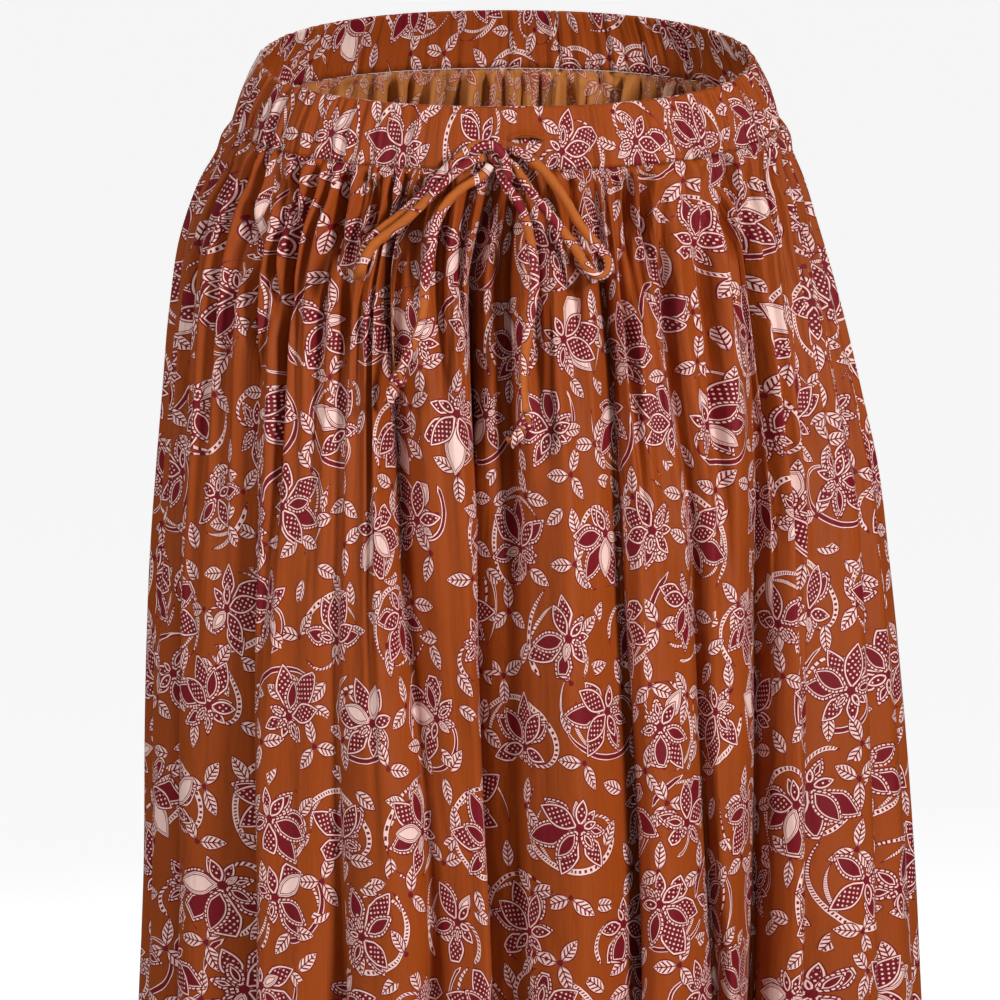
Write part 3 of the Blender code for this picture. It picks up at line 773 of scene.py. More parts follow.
# Stitches lie along a line on the cloth: the way from one to the next, and each one's length and width
Stitch = namedtuple("Stitch", "pitch length width")
HEM_STITCH = Stitch(0.0030, 0.0023, 0.00042)


def stitch_tree():
    """Lays stitches along an edge line."""
    tree = bpy.data.node_groups.new("stitches", "GeometryNodeTree")
    tree.interface.new_socket("Line", in_out="INPUT", socket_type="NodeSocketGeometry")
    for name in ("Pitch", "Length", "Width"):
        tree.interface.new_socket(name, in_out="INPUT", socket_type="NodeSocketFloat")
    tree.interface.new_socket("Thread", in_out="INPUT", socket_type="NodeSocketMaterial")
    tree.interface.new_socket("Stitches", in_out="OUTPUT", socket_type="NodeSocketGeometry")

    def node(kind, **links):
        made = tree.nodes.new(kind)
        for socket, value in links.items():
            socket = made.inputs[socket.replace("_", " ")]
            if isinstance(value, bpy.types.NodeSocket):
                tree.links.new(value, socket)
            else:
                socket.default_value = value
        return made

    given = tree.nodes.new("NodeGroupInput").outputs
    line = node("GeometryNodeMeshToCurve", Mesh=given["Line"])
    spaced = node("GeometryNodeResampleCurve", Curve=line.outputs["Curve"])
    spaced.mode = "LENGTH"
    tree.links.new(given["Pitch"], spaced.inputs["Length"])
    bead = node("GeometryNodeMeshUVSphere", Segments=6, Rings=4, Radius=0.5)
    size = node("ShaderNodeCombineXYZ", X=given["Width"], Y=given["Width"], Z=given["Length"])
    stitch = node("GeometryNodeTransform", Geometry=bead.outputs["Mesh"], Scale=size.outputs["Vector"])
    tangent = node("GeometryNodeInputTangent")
    lie = node("FunctionNodeAlignRotationToVector", Vector=tangent.outputs["Tangent"])
    lie.axis = "Z"
    uneven = node("FunctionNodeRandomValue", Seed=7)
    uneven.data_type = "FLOAT"
    uneven.inputs[2].default_value = 0.88
    uneven.inputs[3].default_value = 1.12
    laid = node(
        "GeometryNodeInstanceOnPoints",
        Points=spaced.outputs["Curve"],
        Instance=stitch.outputs["Geometry"],
        Rotation=lie.outputs["Rotation"],
        Scale=uneven.outputs[1],
    )
    real = node("GeometryNodeRealizeInstances", Geometry=laid.outputs["Instances"])
    smooth = node("GeometryNodeSetShadeSmooth", Geometry=real.outputs["Geometry"])
    dressed = node("GeometryNodeSetMaterial", Geometry=smooth.outputs["Geometry"], Material=given["Thread"])
    result = tree.nodes.new("NodeGroupOutput")
    tree.links.new(dressed.outputs["Geometry"], result.inputs["Stitches"])
    return tree


def thread_finish():
    """Amber sewing cotton, a little uneven in its dye."""
    material = bpy.data.materials.new("sewing thread")
    material.use_nodes = True
    tree = material.node_tree
    shader = tree.nodes["Principled BSDF"]
    shader.inputs["Roughness"].default_value = 0.5
    place = tree.nodes.new("ShaderNodeTexCoord")
    noise = tree.nodes.new("ShaderNodeTexNoise")
    noise.inputs["Scale"].default_value = 900
    tree.links.new(place.outputs["Object"], noise.inputs["Vector"])
    dye = tree.nodes.new("ShaderNodeMix")
    dye.data_type = "RGBA"
    dye.inputs["A"].default_value = (0.17, 0.032, 0.005, 1)
    dye.inputs["B"].default_value = (0.27, 0.060, 0.009, 1)
    tree.links.new(noise.outputs["Fac"], dye.inputs["Factor"])
    tree.links.new(dye.outputs["Result"], shader.inputs["Base Color"])
    return material


STITCHES = stitch_tree()
THREAD = thread_finish()


def sewn(name, line, stitch):
    """A row of stitches along a line of places, as a piece of its own."""
    edges = [(k, k + 1) for k in range(len(line) - 1)]
    seam = bpy.data.meshes.new(name)
    seam.from_pydata(np.asarray(line).tolist(), edges, [])
    guide = bpy.data.objects.new(name, seam)
    bpy.context.scene.collection.objects.link(guide)
    rows = guide.modifiers.new("stitches", "NODES")
    rows.node_group = STITCHES
    named = {item.name: item.identifier for item in STITCHES.interface.items_tree if item.in_out == "INPUT"}
    rows[named["Pitch"]] = stitch.pitch
    rows[named["Length"]] = stitch.length
    rows[named["Width"]] = stitch.width
    rows[named["Thread"]] = THREAD
    depsgraph = bpy.context.evaluated_depsgraph_get()
    data = bpy.data.meshes.new_from_object(guide.evaluated_get(depsgraph), depsgraph=depsgraph)
    bpy.data.objects.remove(guide)
    piece = bpy.data.objects.new(name, data)
    bpy.context.scene.collection.objects.link(piece)
    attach(piece, "root")
    return piece


# Soft creases between the folds: each has its place across at its top and its bottom, the drops where it
# starts and ends, how deep it is, below 0 for a ridge, and how far it spreads to either side
Crease = namedtuple("Crease", "top bottom start end depth spread")
CREASE_DEEPER = 1.7  # for the depths of both tables
NARROW_CREASE = 0.007  # creases that spread less than this have steeper sides
FRONT_CREASES = (
    Crease(-0.88, -0.86, 0.03, 0.40, 0.0030, 0.012),
    Crease(-0.73, -0.745, 0.05, 0.30, 0.0026, 0.010),
    Crease(-0.60, -0.61, 0.04, 0.62, 0.0034, 0.017),
    Crease(-0.545, -0.56, 0.02, 0.26, 0.0024, 0.009),
    Crease(-0.415, -0.42, 0.02, 0.34, 0.0030, 0.012),
    Crease(-0.365, -0.33, 0.06, 0.70, -0.0026, 0.016),
    Crease(-0.235, -0.19, 0.03, 0.24, 0.0024, 0.009),
    Crease(-0.16, -0.14, 0.30, 0.74, 0.0040, 0.020),
    Crease(-0.09, -0.075, 0.03, 0.30, 0.0028, 0.010),
    Crease(0.055, 0.085, 0.02, 0.34, 0.0034, 0.012),
    Crease(0.12, 0.125, 0.05, 0.70, -0.0030, 0.018),
    Crease(0.175, 0.165, 0.02, 0.22, 0.0026, 0.009),
    Crease(0.255, 0.27, 0.30, 0.74, 0.0030, 0.015),
    Crease(0.415, 0.39, 0.03, 0.30, 0.0026, 0.010),
    Crease(0.52, 0.49, 0.28, 0.70, 0.0030, 0.014),
    Crease(0.56, 0.54, 0.02, 0.22, 0.0028, 0.009),
    Crease(0.70, 0.65, 0.04, 0.60, -0.0030, 0.015),
    Crease(0.80, 0.68, 0.03, 0.26, 0.0024, 0.009),
    Crease(0.88, 0.82, 0.06, 0.52, 0.0034, 0.014),
    Crease(0.95, 0.87, 0.04, 0.30, 0.0026, 0.011),
    # narrow and deep ones under the gathers
    Crease(-0.853, -0.73, 0.030, 0.17, 0.0074, 0.0060),
    Crease(-0.779, -0.658, 0.012, 0.13, 0.0071, 0.0050),
    Crease(-0.75, -0.627, 0.002, 0.10, 0.0062, 0.0050),
    Crease(-0.574, -0.48, 0.003, 0.11, 0.0065, 0.0050),
    Crease(-0.46, -0.40, 0.006, 0.08, 0.0062, 0.0048),
    Crease(-0.367, -0.29, 0.016, 0.25, 0.0096, 0.0066),
    Crease(-0.273, -0.237, 0.010, 0.10, 0.0065, 0.0048),
    Crease(-0.204, -0.169, 0.006, 0.15, 0.0081, 0.0056),
    Crease(-0.126, -0.109, 0.005, 0.08, 0.0062, 0.0048),
    Crease(-0.031, -0.025, 0.010, 0.20, 0.0084, 0.0058),
    Crease(0.034, 0.026, 0.016, 0.26, 0.0090, 0.0060),
    Crease(0.115, 0.10, 0.040, 0.18, 0.0081, 0.0054),
    Crease(0.237, 0.20, 0.006, 0.11, 0.0065, 0.0050),
    Crease(0.30, 0.27, 0.045, 0.19, 0.0084, 0.0056),
    Crease(0.426, 0.348, 0.004, 0.16, 0.0087, 0.0056),
    Crease(0.497, 0.42, 0.002, 0.08, 0.0062, 0.0048),
    Crease(0.56, 0.46, 0.003, 0.15, 0.0078, 0.0052),
    Crease(0.706, 0.56, 0.003, 0.20, 0.0084, 0.0056),
    Crease(0.80, 0.67, 0.003, 0.11, 0.0068, 0.0050),
    Crease(0.837, 0.711, 0.025, 0.19, 0.0078, 0.0056),
)
BACK_CREASES = (
    Crease(-0.96, -0.93, 0.03, 0.40, 0.0026, 0.012),
    Crease(-0.84, -0.80, 0.05, 0.60, 0.0036, 0.016),
    Crease(-0.66, -0.62, 0.03, 0.34, 0.0030, 0.012),
    Crease(-0.51, -0.49, 0.02, 0.26, 0.0024, 0.009),
    Crease(-0.35, -0.32, 0.06, 0.70, -0.0028, 0.018),
    Crease(-0.29, -0.30, 0.02, 0.30, 0.0028, 0.010),
    Crease(-0.17, -0.14, 0.30, 0.74, 0.0036, 0.018),
    Crease(-0.05, -0.04, 0.02, 0.26, 0.0026, 0.010),
    Crease(0.10, 0.14, 0.05, 0.66, -0.0030, 0.017),
    Crease(0.15, 0.17, 0.02, 0.24, 0.0026, 0.009),
    Crease(0.30, 0.32, 0.20, 0.72, 0.0036, 0.017),
    Crease(0.45, 0.43, 0.02, 0.30, 0.0028, 0.010),
    Crease(0.61, 0.59, 0.04, 0.64, 0.0032, 0.016),
    Crease(0.78, 0.77, 0.03, 0.36, 0.0030, 0.012),
    Crease(0.93, 0.94, 0.05, 0.50, 0.0028, 0.013),
    # narrow and deep ones under the gathers
    Crease(-0.88, -0.78, 0.004, 0.13, 0.0071, 0.0052),
    Crease(-0.72, -0.62, 0.003, 0.17, 0.0081, 0.0056),
    Crease(-0.60, -0.53, 0.010, 0.11, 0.0065, 0.0050),
    Crease(-0.40, -0.34, 0.003, 0.19, 0.0084, 0.0058),
    Crease(-0.29, -0.25, 0.006, 0.10, 0.0065, 0.0048),
    Crease(-0.14, -0.12, 0.003, 0.15, 0.0074, 0.0052),
    Crease(0.07, 0.06, 0.012, 0.22, 0.0087, 0.0060),
    Crease(0.19, 0.16, 0.003, 0.12, 0.0068, 0.0050),
    Crease(0.34, 0.29, 0.006, 0.17, 0.0081, 0.0056),
    Crease(0.47, 0.41, 0.003, 0.10, 0.0065, 0.0048),
    Crease(0.63, 0.55, 0.004, 0.20, 0.0084, 0.0058),
    Crease(0.76, 0.66, 0.003, 0.13, 0.0071, 0.0050),
    Crease(0.86, 0.75, 0.010, 0.18, 0.0078, 0.0056),
)


def crease_press(ring, creases, drop, shares):
    """How far the soft creases press the ring in."""
    press = np.zeros_like(shares)
    for crease in creases:
        way = (drop - crease.start) / (crease.end - crease.start)
        if 0 < way < 1:
            valley = ring.share_of(crease.top + (crease.bottom - crease.top) * way)
            away = np.abs(shares - valley) * ring.length / crease.spread
            steep = 2 if crease.spread > NARROW_CREASE else 3
            depth = CREASE_DEEPER * crease.depth * math.sin(math.pi * way**0.6)
            press += depth * np.exp(-(away**steep) * 2)
    return press


def flat_map(points, width, side):
    """Where a grid of points lies on the flat cloth, by the mean length of each step across and down."""
    steps_across = np.linalg.norm(np.diff(points, axis=1), axis=2).mean(0)
    steps_down = np.linalg.norm(np.diff(points, axis=0), axis=2).mean(1)
    across = np.concatenate(([0], np.cumsum(steps_across)))
    down = np.concatenate(([0], np.cumsum(steps_down)))
    across = (across / across[-1] - 0.5) * width
    return np.stack(np.broadcast_arrays(across * -side, -down[:, None]), axis=-1)


def outward(points, side):
    """The directions out of a grid of points on the front or the back."""
    normal = np.cross(np.gradient(points, axis=1), np.gradient(points, axis=0)) * side
    return normal / np.linalg.norm(normal, axis=2)[..., None]


def seam_ripple(side, seed, shares):
    """How far the ripples press the cloth in along the waistband's seam, in all and in their fine part."""
    dips, _ = gather_wave(seed, shares)
    rng = random.Random(seed + 40)
    fine = sum(
        np.sin(math.tau * (shares * count + rng.random())) * height
        for count, height in FINE_RIPPLES
    )
    middle = np.exp(-((shares - 0.5) / FRONT_MIDDLE_SPREAD) ** 2) if side < 0 else SMOOTH_BEHIND
    strength = BAND_RIPPLE * (1 - SMOOTH_IN_FRONT * middle)
    return strength * dips, strength * fine


def panel_points(side, folds, creases, seed):
    """The panel's outer side row by row, each point's place on the flat cloth, and the line of the hem's
    stitches."""
    shares = np.linspace(0, 1, COLUMNS)
    dips, lasts = gather_wave(seed, shares)
    fine_dips, fine_lasts = gather_wave(seed + 60, shares, FINE_GATHERS)
    at_top = led_by_folds(folds, 0.0, side, shares)
    ripple = sum(seam_ripple(side, seed, at_top))
    seam_y = HalfRing(SECTIONS, 0.0, side).at(at_top)[0][:, 1]
    steps = np.linspace(0, 1, ROWS)
    rows = []
    for drop in SKIRT_DROP * (ROWS_EVEN * steps + (1 - ROWS_EVEN) * steps**2):
        ring = HalfRing(SECTIONS, drop, side)
        led = led_by_folds(folds, drop, side, shares)
        place, out, along = ring.at(led)
        hold = np.clip(np.minimum(led, 1 - led) * ring.length / SIDE_SEAM_SPREAD, 0, 1)
        press, carry = fold_press(ring, folds, drop, led)
        own = drop > GATHERS_PART
        gather = dips**GATHER_STEEP * np.interp(drop / np.where(own, lasts, 1), *zip(*GATHER_DEPTHS))
        fine = np.interp(drop / np.where(own, fine_lasts, 1), *zip(*FINE_GATHER_DEPTHS))
        gather = gather + fine_dips * fine
        creased = crease_press(ring, creases, drop, led)
        at_seam = math.exp(-((drop / SEAM_EASE) ** 2))
        gather = gather * (1 - at_seam) + (ripple + PANEL_TUCK) * at_seam
        seam_dip = SIDE_SEAM_DIP * (1 - hold) ** 2 * min(1.0, drop / FOLD_DROPS[0])
        inward = seam_dip + hold * (press + gather + creased)
        x, y = (place - out * inward[:, None] + along * (hold * carry)[:, None]).T
        z = -BAND_HEIGHT / 2 - SEAM_GAP - drop + WAIST_SLOPE * seam_y * (1 - drop / SKIRT_DROP)
        rows.append(np.column_stack((x, y + side * SEAM_GAP / 2, z)))
    points = np.array(rows)
    out = outward(points, side)
    # the cloth turns under at the hem and lies behind the last rows, and is stitched near its raw edge
    turned_up = [points[-1] - out[-1] * HEM_GAP / 2 - np.array((0, 0, HEM_GAP / 3))]
    turned_up += [points[-k] - out[-k] * HEM_GAP for k in (1, 2, 3)]
    hem_line = (points[-3] * 0.75 + points[-2] * 0.25) + out[-3] * CLOTH_WALL * 0.1
    points = np.concatenate((points, turned_up))
    return points, flat_map(points, PANEL_WIDTH, side), hem_line


def skirt_panel(place, side, folds, creases, seed, cut_from):
    """A panel, cut from its own place on the cloth, with its hem."""
    points, flat, hem_line = panel_points(side, folds, creases, seed)
    if side > 0:
        points, flat = points[:, ::-1], flat[:, ::-1]
    data = grid_mesh(f"panel_{place}", points, flat + cut_from)
    piece = cloth_piece(f"panel_{place}", data, right_side, wrong_side)
    wall = piece.modifiers.new("wall", "SOLIDIFY")
    wall.thickness = CLOTH_WALL
    wall.offset = -1
    wall.material_offset = 1
    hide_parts(f"skirt_{place}")
    sewn(f"hem_stitches_{place}", hem_line, HEM_STITCH)
    return piece


front_panel = skirt_panel("front", -1, FRONT_FOLDS, FRONT_CREASES, GATHER_SEED, (0.0, 0.0))
back_panel = skirt_panel("back", 1, BACK_FOLDS, BACK_CREASES, GATHER_SEED + 1, (1.31, 0.0))

# Waistband
# A casing of the same cotton is folded over a wide elastic and stitched down above the panels. The elastic
# draws it into fine upright ripples, which are strongest at the sides and nearly gone in the middle of the
# front.
CASING_WALL = 0.0028
BAND_COLUMNS = 421
BAND_WIDTH = 0.62  # the flat casing of each half
RIPPLE_AT_TOP = 0.45  # as a share of their depth at the seam

# The waistband, from its top edge down to its seam, over the crests of the ripples
BAND_SECTIONS = (
    Section(-0.0350, 0.1436, 0.1010, 0.1065, 0.0),
    Section(-0.0175, 0.1530, 0.1080, 0.1135, 0.0),
    Section(0.0000, 0.1588, 0.1120, 0.1180, 0.0),
)
CASING_STITCH = Stitch(0.0026, 0.0016, 0.00024)

# The worked slot beside the middle of the front, where the drawstring comes out: its middle, half its
# length, half its height, and how deep and how proud of the casing its edge is
Slot = namedtuple("Slot", "x drop half_length half_height depth lip")
SLOT = Slot(0.0112, -0.0160, 0.0084, 0.0016, 0.0008, 0.0009)
SLOT_LIP_UP = 0.0014  # the lip lies higher than the slot by this
SLOT_LIP_TALL = 1.5
SLOT_EDGE = 1.25  # the cloth turns in from here, as a share of the slot's half sizes squared
SLOT_CUT = 0.92  # and is cut away from here
SLOT_RIM = (1.12, 1.35)  # where the stitches run, as a share of its half length and half height
SLOT_STITCH = Stitch(0.0009, 0.0011, 0.00040)
THREAD_PROUD = 0.0001


def slot_press(x, drop):
    """How far the casing is pressed in at its slot. The edge above it stands proud."""
    beside = ((x - SLOT.x) / SLOT.half_length) ** 2
    away = beside + ((drop - SLOT.drop) / SLOT.half_height) ** 2
    rim = beside + ((drop - SLOT.drop + SLOT_LIP_UP) / SLOT.half_height / SLOT_LIP_TALL) ** 2
    hollow = np.clip(SLOT_EDGE - away, 0, 1)
    above = 1 + np.tanh((SLOT.drop - drop) / SLOT.half_height)
    lip = SLOT.lip * above * np.exp(-((rim - 1) ** 2) * 3)
    return SLOT.depth * hollow**0.5 - lip * (1 - hollow)


def casing_profile():
    """Round the casing's section, from its outer side at the seam over the top to its inner side. Gives how
    far down and how far in each point lies."""
    radius = CASING_WALL / 2
    plain = np.linspace(0, -BAND_HEIGHT + radius, 16)
    by_slot = SLOT.drop + np.linspace(-2.4, 2.4, 13) * SLOT.half_height
    outer = [(drop, 0.0) for drop in sorted((*plain, *by_slot), reverse=True)]
    top = [
        (-BAND_HEIGHT + radius - radius * math.sin(angle), radius - radius * math.cos(angle))
        for angle in np.linspace(0.3, 2.84, 7)
    ]
    inner = [(drop, CASING_WALL) for drop in np.linspace(-BAND_HEIGHT + radius, 0, 9)]
    return outer + top + inner


def joined(name, *meshes):
    """One mesh of several, with doubled points merged and open ends closed."""
    bm = bmesh.new()
    for mesh in meshes:
        bm.from_mesh(mesh)
    bmesh.ops.remove_doubles(bm, verts=bm.verts, dist=1e-6)
    bmesh.ops.holes_fill(bm, edges=[edge for edge in bm.edges if edge.is_boundary])
    bmesh.ops.recalc_face_normals(bm, faces=bm.faces)
    data = bpy.data.meshes.new(name)
    bm.to_mesh(data)
    bm.free()
    return data


def worked_slot(casing):
    """Cuts the slot through the front of the casing, and sews close stitches round its edge."""
    slot_z = -BAND_HEIGHT / 2 - SLOT.drop - WAIST_SLOPE * BAND_SECTIONS[-1].front
    bm = bmesh.new()
    bm.from_mesh(casing)
    found = BVHTree.FromBMesh(bm)
    rim = []
    for angle in np.linspace(0, math.tau, 73):
        x = SLOT.x + SLOT.half_length * SLOT_RIM[0] * math.cos(angle)
        z = slot_z - SLOT.half_height * SLOT_RIM[1] * math.sin(angle)
        place, normal, _, _ = found.ray_cast(Vector((x, -1, z)), Vector((0, 1, 0)))
        rim.append(place + normal * THREAD_PROUD)
    cut = []
    for face in bm.faces:
        middle = face.calc_center_median()
        away = ((middle.x - SLOT.x) / SLOT.half_length) ** 2 + ((middle.z - slot_z) / SLOT.half_height) ** 2
        if away < SLOT_CUT and middle.y < 0 and face.normal.y < 0:
            cut.append(face)
    bmesh.ops.delete(bm, geom=cut, context="FACES")
    bm.to_mesh(casing)
    bm.free()
    sewn("slot_stitches", rim, SLOT_STITCH)


def waistband_half(place, side, seed, cut_from):
    """The front or the back of the casing, cut from its own place on the cloth."""
    shares = np.linspace(0, 1, BAND_COLUMNS)
    broad, fine = seam_ripple(side, seed, shares)
    seam_y = HalfRing(BAND_SECTIONS, 0.0, side).at(shares)[0][:, 1]
    rows = []
    for drop, inward in casing_profile():
        ring = HalfRing(BAND_SECTIONS, drop, side)
        where, out, _ = ring.at(shares)
        to_side = np.minimum(shares, 1 - shares) * ring.length
        hold = np.clip(to_side / SIDE_SEAM_SPREAD, 0, 1)
        low = 1 + drop / BAND_HEIGHT  # 1 at the seam, 0 at the top
        ripple = broad * (RIPPLE_AT_TOP + (1 - RIPPLE_AT_TOP) * low) + fine
        slot = slot_press(where[:, 0], drop) if side < 0 and inward == 0 else 0.0
        x, y = (where - out * (inward + ripple * hold + slot)[:, None]).T
        z = -BAND_HEIGHT / 2 - drop + WAIST_SLOPE * seam_y
        rows.append(np.column_stack((x, y + side * SEAM_GAP / 2, z)))
    seam_line = (rows[0] + rows[1]) / 2
    sewn(f"casing_stitches_{place}", seam_line, CASING_STITCH)
    rows.append(rows[0])
    points = np.array(rows)[::-1]
    flat = flat_map(points, BAND_WIDTH, side)
    if side > 0:
        points, flat = points[:, ::-1], flat[:, ::-1]
    data = joined(f"casing_{place}", grid_mesh(f"casing_{place}", points, flat + cut_from))
    if side < 0:
        worked_slot(data)
    piece = cloth_piece(f"casing_{place}", data, right_side)
    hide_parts(f"waistband_{place}")
    return piece


waistband_half("front", -1, GATHER_SEED, (0.030, 0.186))
waistband_half("back", 1, GATHER_SEED + 1, (2.05, 0.11))

# Drawstring
# A narrow bias tube of the same cotton, tied in a bow over the slot in the casing. The loops and the ends
# hang free over the gathers, and each end has a knot in it.
TIE_WIDTH = 0.0058
TIE_THICKNESS = 0.0050
TIE_SIDES = 14
TIE_STEP = 0.0022
TIE_TURNS = (-0.06, 0.14)  # how far it has rolled over at its start and its end, as shares of a turn
TIE_SWAY = 0.5  # how far it rocks to and fro on the way, in radians, and how often
TIE_SWAYS = 2.3
TIE_SEAM = 0.0003  # the seam that closes the tube stands up along its edge
PINCH = 0.13
PINCH_SPACING = 0.017
KNOT_STEP = 0.0011
KNOTTED_WIDTH = 0.0046  # the tube is drawn narrower in a knot
CRUSHED = 0.85  # and pressed this much flatter

# Where on the flat cloth each strand is cut from
CUT_FROM = {
    "tie_loop_right": (0.108, 0.061),
    "tie_loop_left": (0.015, 0.190),
    "tie_end_left": (0.090, 0.154),
    "tie_end_right": (0.138, 0.067),
}

# The drawstring's strands, each from the bow's knot, in millimetres
LOOP_ROUTES = {
    "tie_loop_right": (
        (1.7, -114.0, -29.9), (5.0, -114.5, -29.6), (9.2, -116.1, -31.0), (15.0, -118.4, -35.0),
        (21.6, -120.4, -41.0), (28.3, -123.7, -49.3), (34.5, -125.7, -58.7), (40.0, -127.7, -68.1),
        (46.7, -129.5, -76.9), (53.4, -130.7, -84.1), (57.3, -132.1, -90.7), (55.6, -133.6, -97.0),
        (50.0, -134.7, -98.0), (44.4, -134.5, -92.7), (38.9, -133.2, -83.8), (32.7, -131.2, -75.0),
        (26.1, -129.0, -66.8), (19.9, -126.7, -59.2), (13.6, -124.4, -51.5), (8.4, -120.9, -43.6),
        (4.8, -116.5, -38.6), (1.3, -114.4, -36.0),
    ),
    "tie_loop_left": (
        (-10.6, -114.0, -27.4), (-13.5, -114.1, -26.2), (-17.8, -114.8, -27.1), (-23.4, -116.3, -30.9),
        (-30.6, -117.0, -37.0), (-38.2, -118.9, -44.7), (-45.4, -121.1, -52.9), (-53.2, -122.3, -60.1),
        (-61.6, -123.3, -67.3), (-70.0, -124.2, -73.4), (-76.1, -125.0, -78.9), (-80.1, -126.2, -86.1),
        (-82.2, -128.8, -93.7), (-82.9, -133.7, -98.4), (-81.2, -137.8, -94.2), (-78.1, -136.6, -87.0),
        (-74.3, -134.4, -81.0), (-67.6, -132.5, -75.6), (-58.7, -130.7, -69.0), (-50.3, -129.1, -61.8),
        (-42.5, -127.4, -54.1), (-34.7, -124.9, -46.7), (-27.4, -121.4, -40.4), (-21.2, -118.0, -36.0),
        (-16.6, -115.6, -33.8), (-12.6, -114.6, -33.2),
    ),
}
END_ROUTES = {
    "tie_end_left": (
        (-9.1, -115.2, -38.0), (-11.8, -117.0, -41.8), (-17.0, -119.9, -45.6), (-23.5, -121.8, -49.2),
        (-29.4, -123.3, -53.8), (-34.2, -124.9, -59.6), (-37.7, -126.7, -66.4), (-40.3, -129.0, -74.0),
        (-41.6, -131.7, -82.9), (-43.6, -134.2, -92.4), (-45.3, -136.8, -103.1), (-45.8, -139.1, -113.5),
        (-47.5, -141.1, -123.4), (-50.8, -142.8, -133.4), (-55.3, -144.4, -143.3), (-58.5, -145.5, -150.0),
    ),
    "tie_end_right": (
        (-3.5, -115.4, -38.9), (-2.3, -117.7, -43.4), (0.6, -121.8, -49.2), (5.0, -124.5, -55.4),
        (9.0, -126.7, -62.4), (11.8, -129.4, -70.9), (13.8, -132.4, -80.6), (15.7, -135.4, -91.5),
        (15.9, -138.4, -103.5), (14.4, -141.1, -115.0), (12.6, -143.4, -125.4), (11.3, -145.6, -135.9),
        (9.9, -147.8, -146.3), (9.4, -150.1, -157.2), (9.9, -152.2, -166.5), (10.8, -153.6, -172.7),
    ),
}


def smooth_route(points):
    """Close-set places on a smooth curve through a route's own points, given in millimetres."""
    points = np.array(points) / 1000
    way = np.concatenate(([0], np.cumsum(np.linalg.norm(np.diff(points, axis=0), axis=1))))
    table = np.column_stack((way, points))
    return np.array([through(table, at)[1:] for at in np.linspace(0, way[-1], 20 * len(points))])


def evenly(places, step):
    """Evenly spaced places along a line, and its length."""
    way = np.concatenate(([0], np.cumsum(np.linalg.norm(np.diff(places, axis=0), axis=1))))
    at = np.linspace(0, way[-1], round(way[-1] / step) + 1)
    return np.column_stack([np.interp(at, way, axis) for axis in places.T]), way[-1]


# Drawn tight, the tube's cloth is smoother than the rest. Its ground and dark ink are a lighter copy of the
# cotton's colours: painted light, for the extra light the tube catches where it faces the lamps
tube_cotton_painted_lighter = printed_cotton(
    "printed cotton, tube, painted lighter",
    ground=(0.42, 0.105, 0.017),
    dark=(0.20, 0.010, 0.018),
    crinkle=0.0007,
)


def tube_mesh(name, path, widths, thickness, turns, cut_from, seed):
    """A flat tube of cloth cut on the bias along a path, which turns over slowly and is pinched unevenly.
    The turns are at its start and its end."""
    rng = random.Random(seed)
    tangent = np.gradient(path, axis=0)
    tangent /= np.linalg.norm(tangent, axis=1)[:, None]
    wide = np.cross(tangent, np.array((0.0, -1.0, 0.0)))
    wide /= np.linalg.norm(wide, axis=1)[:, None]
    thick = np.cross(wide, tangent)
    count = len(path)
    way = np.linspace(0, 1, count)
    length = np.concatenate(([0], np.cumsum(np.linalg.norm(np.diff(path, axis=0), axis=1))))
    sway = TIE_SWAY * np.sin(math.tau * (way * TIE_SWAYS + rng.random()))
    roll = math.tau * (turns[0] + (turns[1] - turns[0]) * way) + sway
    pinch = 1 - PINCH * np.sin(math.tau * (length / PINCH_SPACING + rng.random())) ** 2
    widths = np.broadcast_to(widths, count) * pinch
    around = np.linspace(0, math.tau, TIE_SIDES + 1)
    across = np.cos(around)[None, :] * widths[:, None] / 2
    deep = np.sin(around)[None, :] * np.broadcast_to(thickness, count)[:, None] / 2
    across = across + TIE_SEAM * (np.cos(around)[None, :] > 0.9)
    cos, sin = np.cos(roll)[:, None], np.sin(roll)[:, None]
    a = across * cos - deep * sin
    b = across * sin + deep * cos
    points = path[:, None] + a[..., None] * wide[:, None] + b[..., None] * thick[:, None]
    girth = np.linspace(0, math.pi * widths.mean(), TIE_SIDES + 1)[None, :]
    bias = ((girth + length[:, None]) * math.sqrt(0.5), (girth - length[:, None]) * math.sqrt(0.5))
    return joined(name, grid_mesh(name, points, np.stack(bias, axis=-1) + cut_from))


def knot_path(middle, size, tip):
    """An overhand knot drawn tight: a closed trefoil of the given size, tipped to one side."""
    t = np.linspace(0, math.tau, 97)
    x = (np.sin(t) + 2 * np.sin(2 * t)) / 3
    z = (np.cos(t) - 2 * np.cos(2 * t)) / 3
    y = -np.sin(3 * t)
    turned_x = x * math.cos(tip) - z * math.sin(tip)
    turned_z = x * math.sin(tip) + z * math.cos(tip)
    return np.column_stack((turned_x * size[0], y * size[1], turned_z * size[2])) + np.array(middle)


def knot_mesh(name, middle, size, tip, cut_from, seed):
    """The tube as it runs round in a knot, rolling over once."""
    path, _ = evenly(knot_path(middle, size, tip), KNOT_STEP)
    return tube_mesh(name, path, KNOTTED_WIDTH, KNOTTED_WIDTH * CRUSHED, (0.0, 1.0), cut_from, seed)


def knot_piece(name, node, *meshes):
    """A knot with all that belongs to it, in the place of its solid."""
    piece = cloth_piece(name, joined(name, *meshes), tube_cotton_painted_lighter)
    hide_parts(node)
    return piece


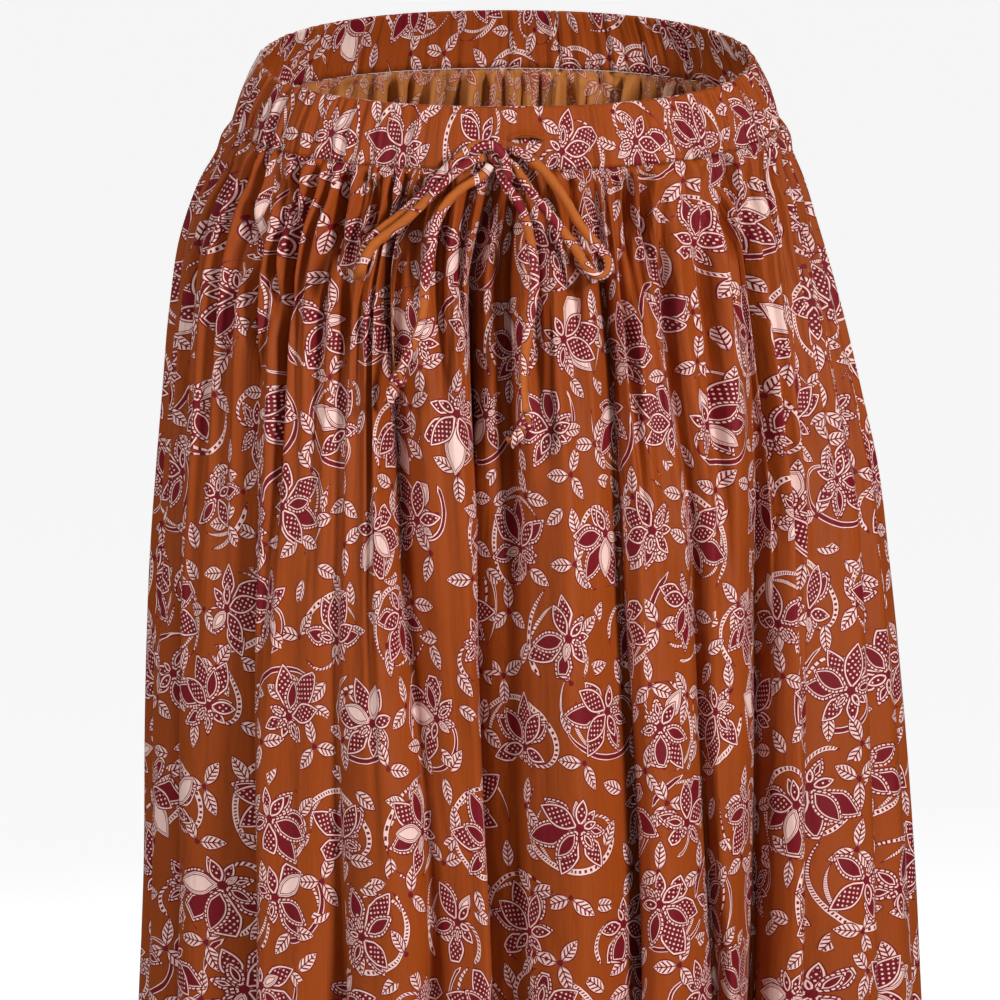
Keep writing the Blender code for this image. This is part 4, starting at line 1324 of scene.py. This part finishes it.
# One strand passes over the knot from the left loop's root to the right end's, in millimetres
OVER_KNOT = (
    (-19.5, -116.6, -30.6), (-15.6, -118.2, -27.6), (-11.2, -119.4, -25.9), (-6.8, -119.9, -26.5),
    (-2.9, -119.9, -29.6), (-0.4, -120.2, -34.0), (0.6, -121.0, -39.2), (1.6, -122.4, -45.2),
)
over, _ = evenly(smooth_route(OVER_KNOT), TIE_STEP)
bow_knot = knot_piece(
    "knot_bow",
    "bow_knot",
    knot_mesh("bow", (-0.0052, -0.1150, -0.0330), (0.0034, 0.0014, 0.0036), 0.4, (0.026, 0.067), 3),
    tube_mesh("over", over, TIE_WIDTH, TIE_THICKNESS * CRUSHED, (0.0, 0.12), (0.113, -0.088), 2),
)

# Below each end knot the flat raw end of the tube hangs out: where it starts, turns and ends, in
# millimetres. It grows wider and flatter to its tip
RAW_ENDS = {
    "left": ((-58.8, -145.6, -150.6), (-61.9, -146.6, -157.2), (-65.4, -146.4, -168.4)),
    "right": ((10.9, -153.7, -173.3), (12.4, -155.9, -182.0), (1.6, -156.2, -190.2)),
}
RAW_END_STEPS = 14
RAW_END_WIDTHS = np.linspace(0.0050, 0.0078, RAW_END_STEPS)
RAW_END_THICKNESSES = np.linspace(0.0040, 0.0022, RAW_END_STEPS)
KNOT_SHARE = 0.27  # how far along that way the knot sits
END_KNOT_SIZE = (0.0034, 0.0016, 0.0036)
for side, axis in RAW_ENDS.items():
    start, turn, end = np.array(axis) / 1000
    t = np.linspace(0.12, 1, RAW_END_STEPS)[:, None]
    tail = start * (1 - t) ** 2 + turn * 2 * t * (1 - t) + end * t**2
    middle = start * (1 - KNOT_SHARE) ** 2 + turn * 2 * KNOT_SHARE * (1 - KNOT_SHARE) + end * KNOT_SHARE**2
    raw_end = tube_mesh("raw_end", tail, RAW_END_WIDTHS, RAW_END_THICKNESSES, (0.02, 0.06), (5.02, 0.6), 8)
    knot = knot_mesh("knot", middle, END_KNOT_SIZE, 0.9, (5.1, 0.3), 5)
    knot_piece(f"knot_end_{side}", f"end_knot_{side}", knot, raw_end)

for name, route in (*LOOP_ROUTES.items(), *END_ROUTES.items()):
    path, length = evenly(smooth_route(route), TIE_STEP)
    side = name.rsplit("_", 1)[1]
    data = tube_mesh(name + "_strand", path, TIE_WIDTH, TIE_THICKNESS, TIE_TURNS, CUT_FROM[name], len(name))
    piece = cloth_piece(name + "_strand", data, tube_cotton_painted_lighter)
    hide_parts(name)
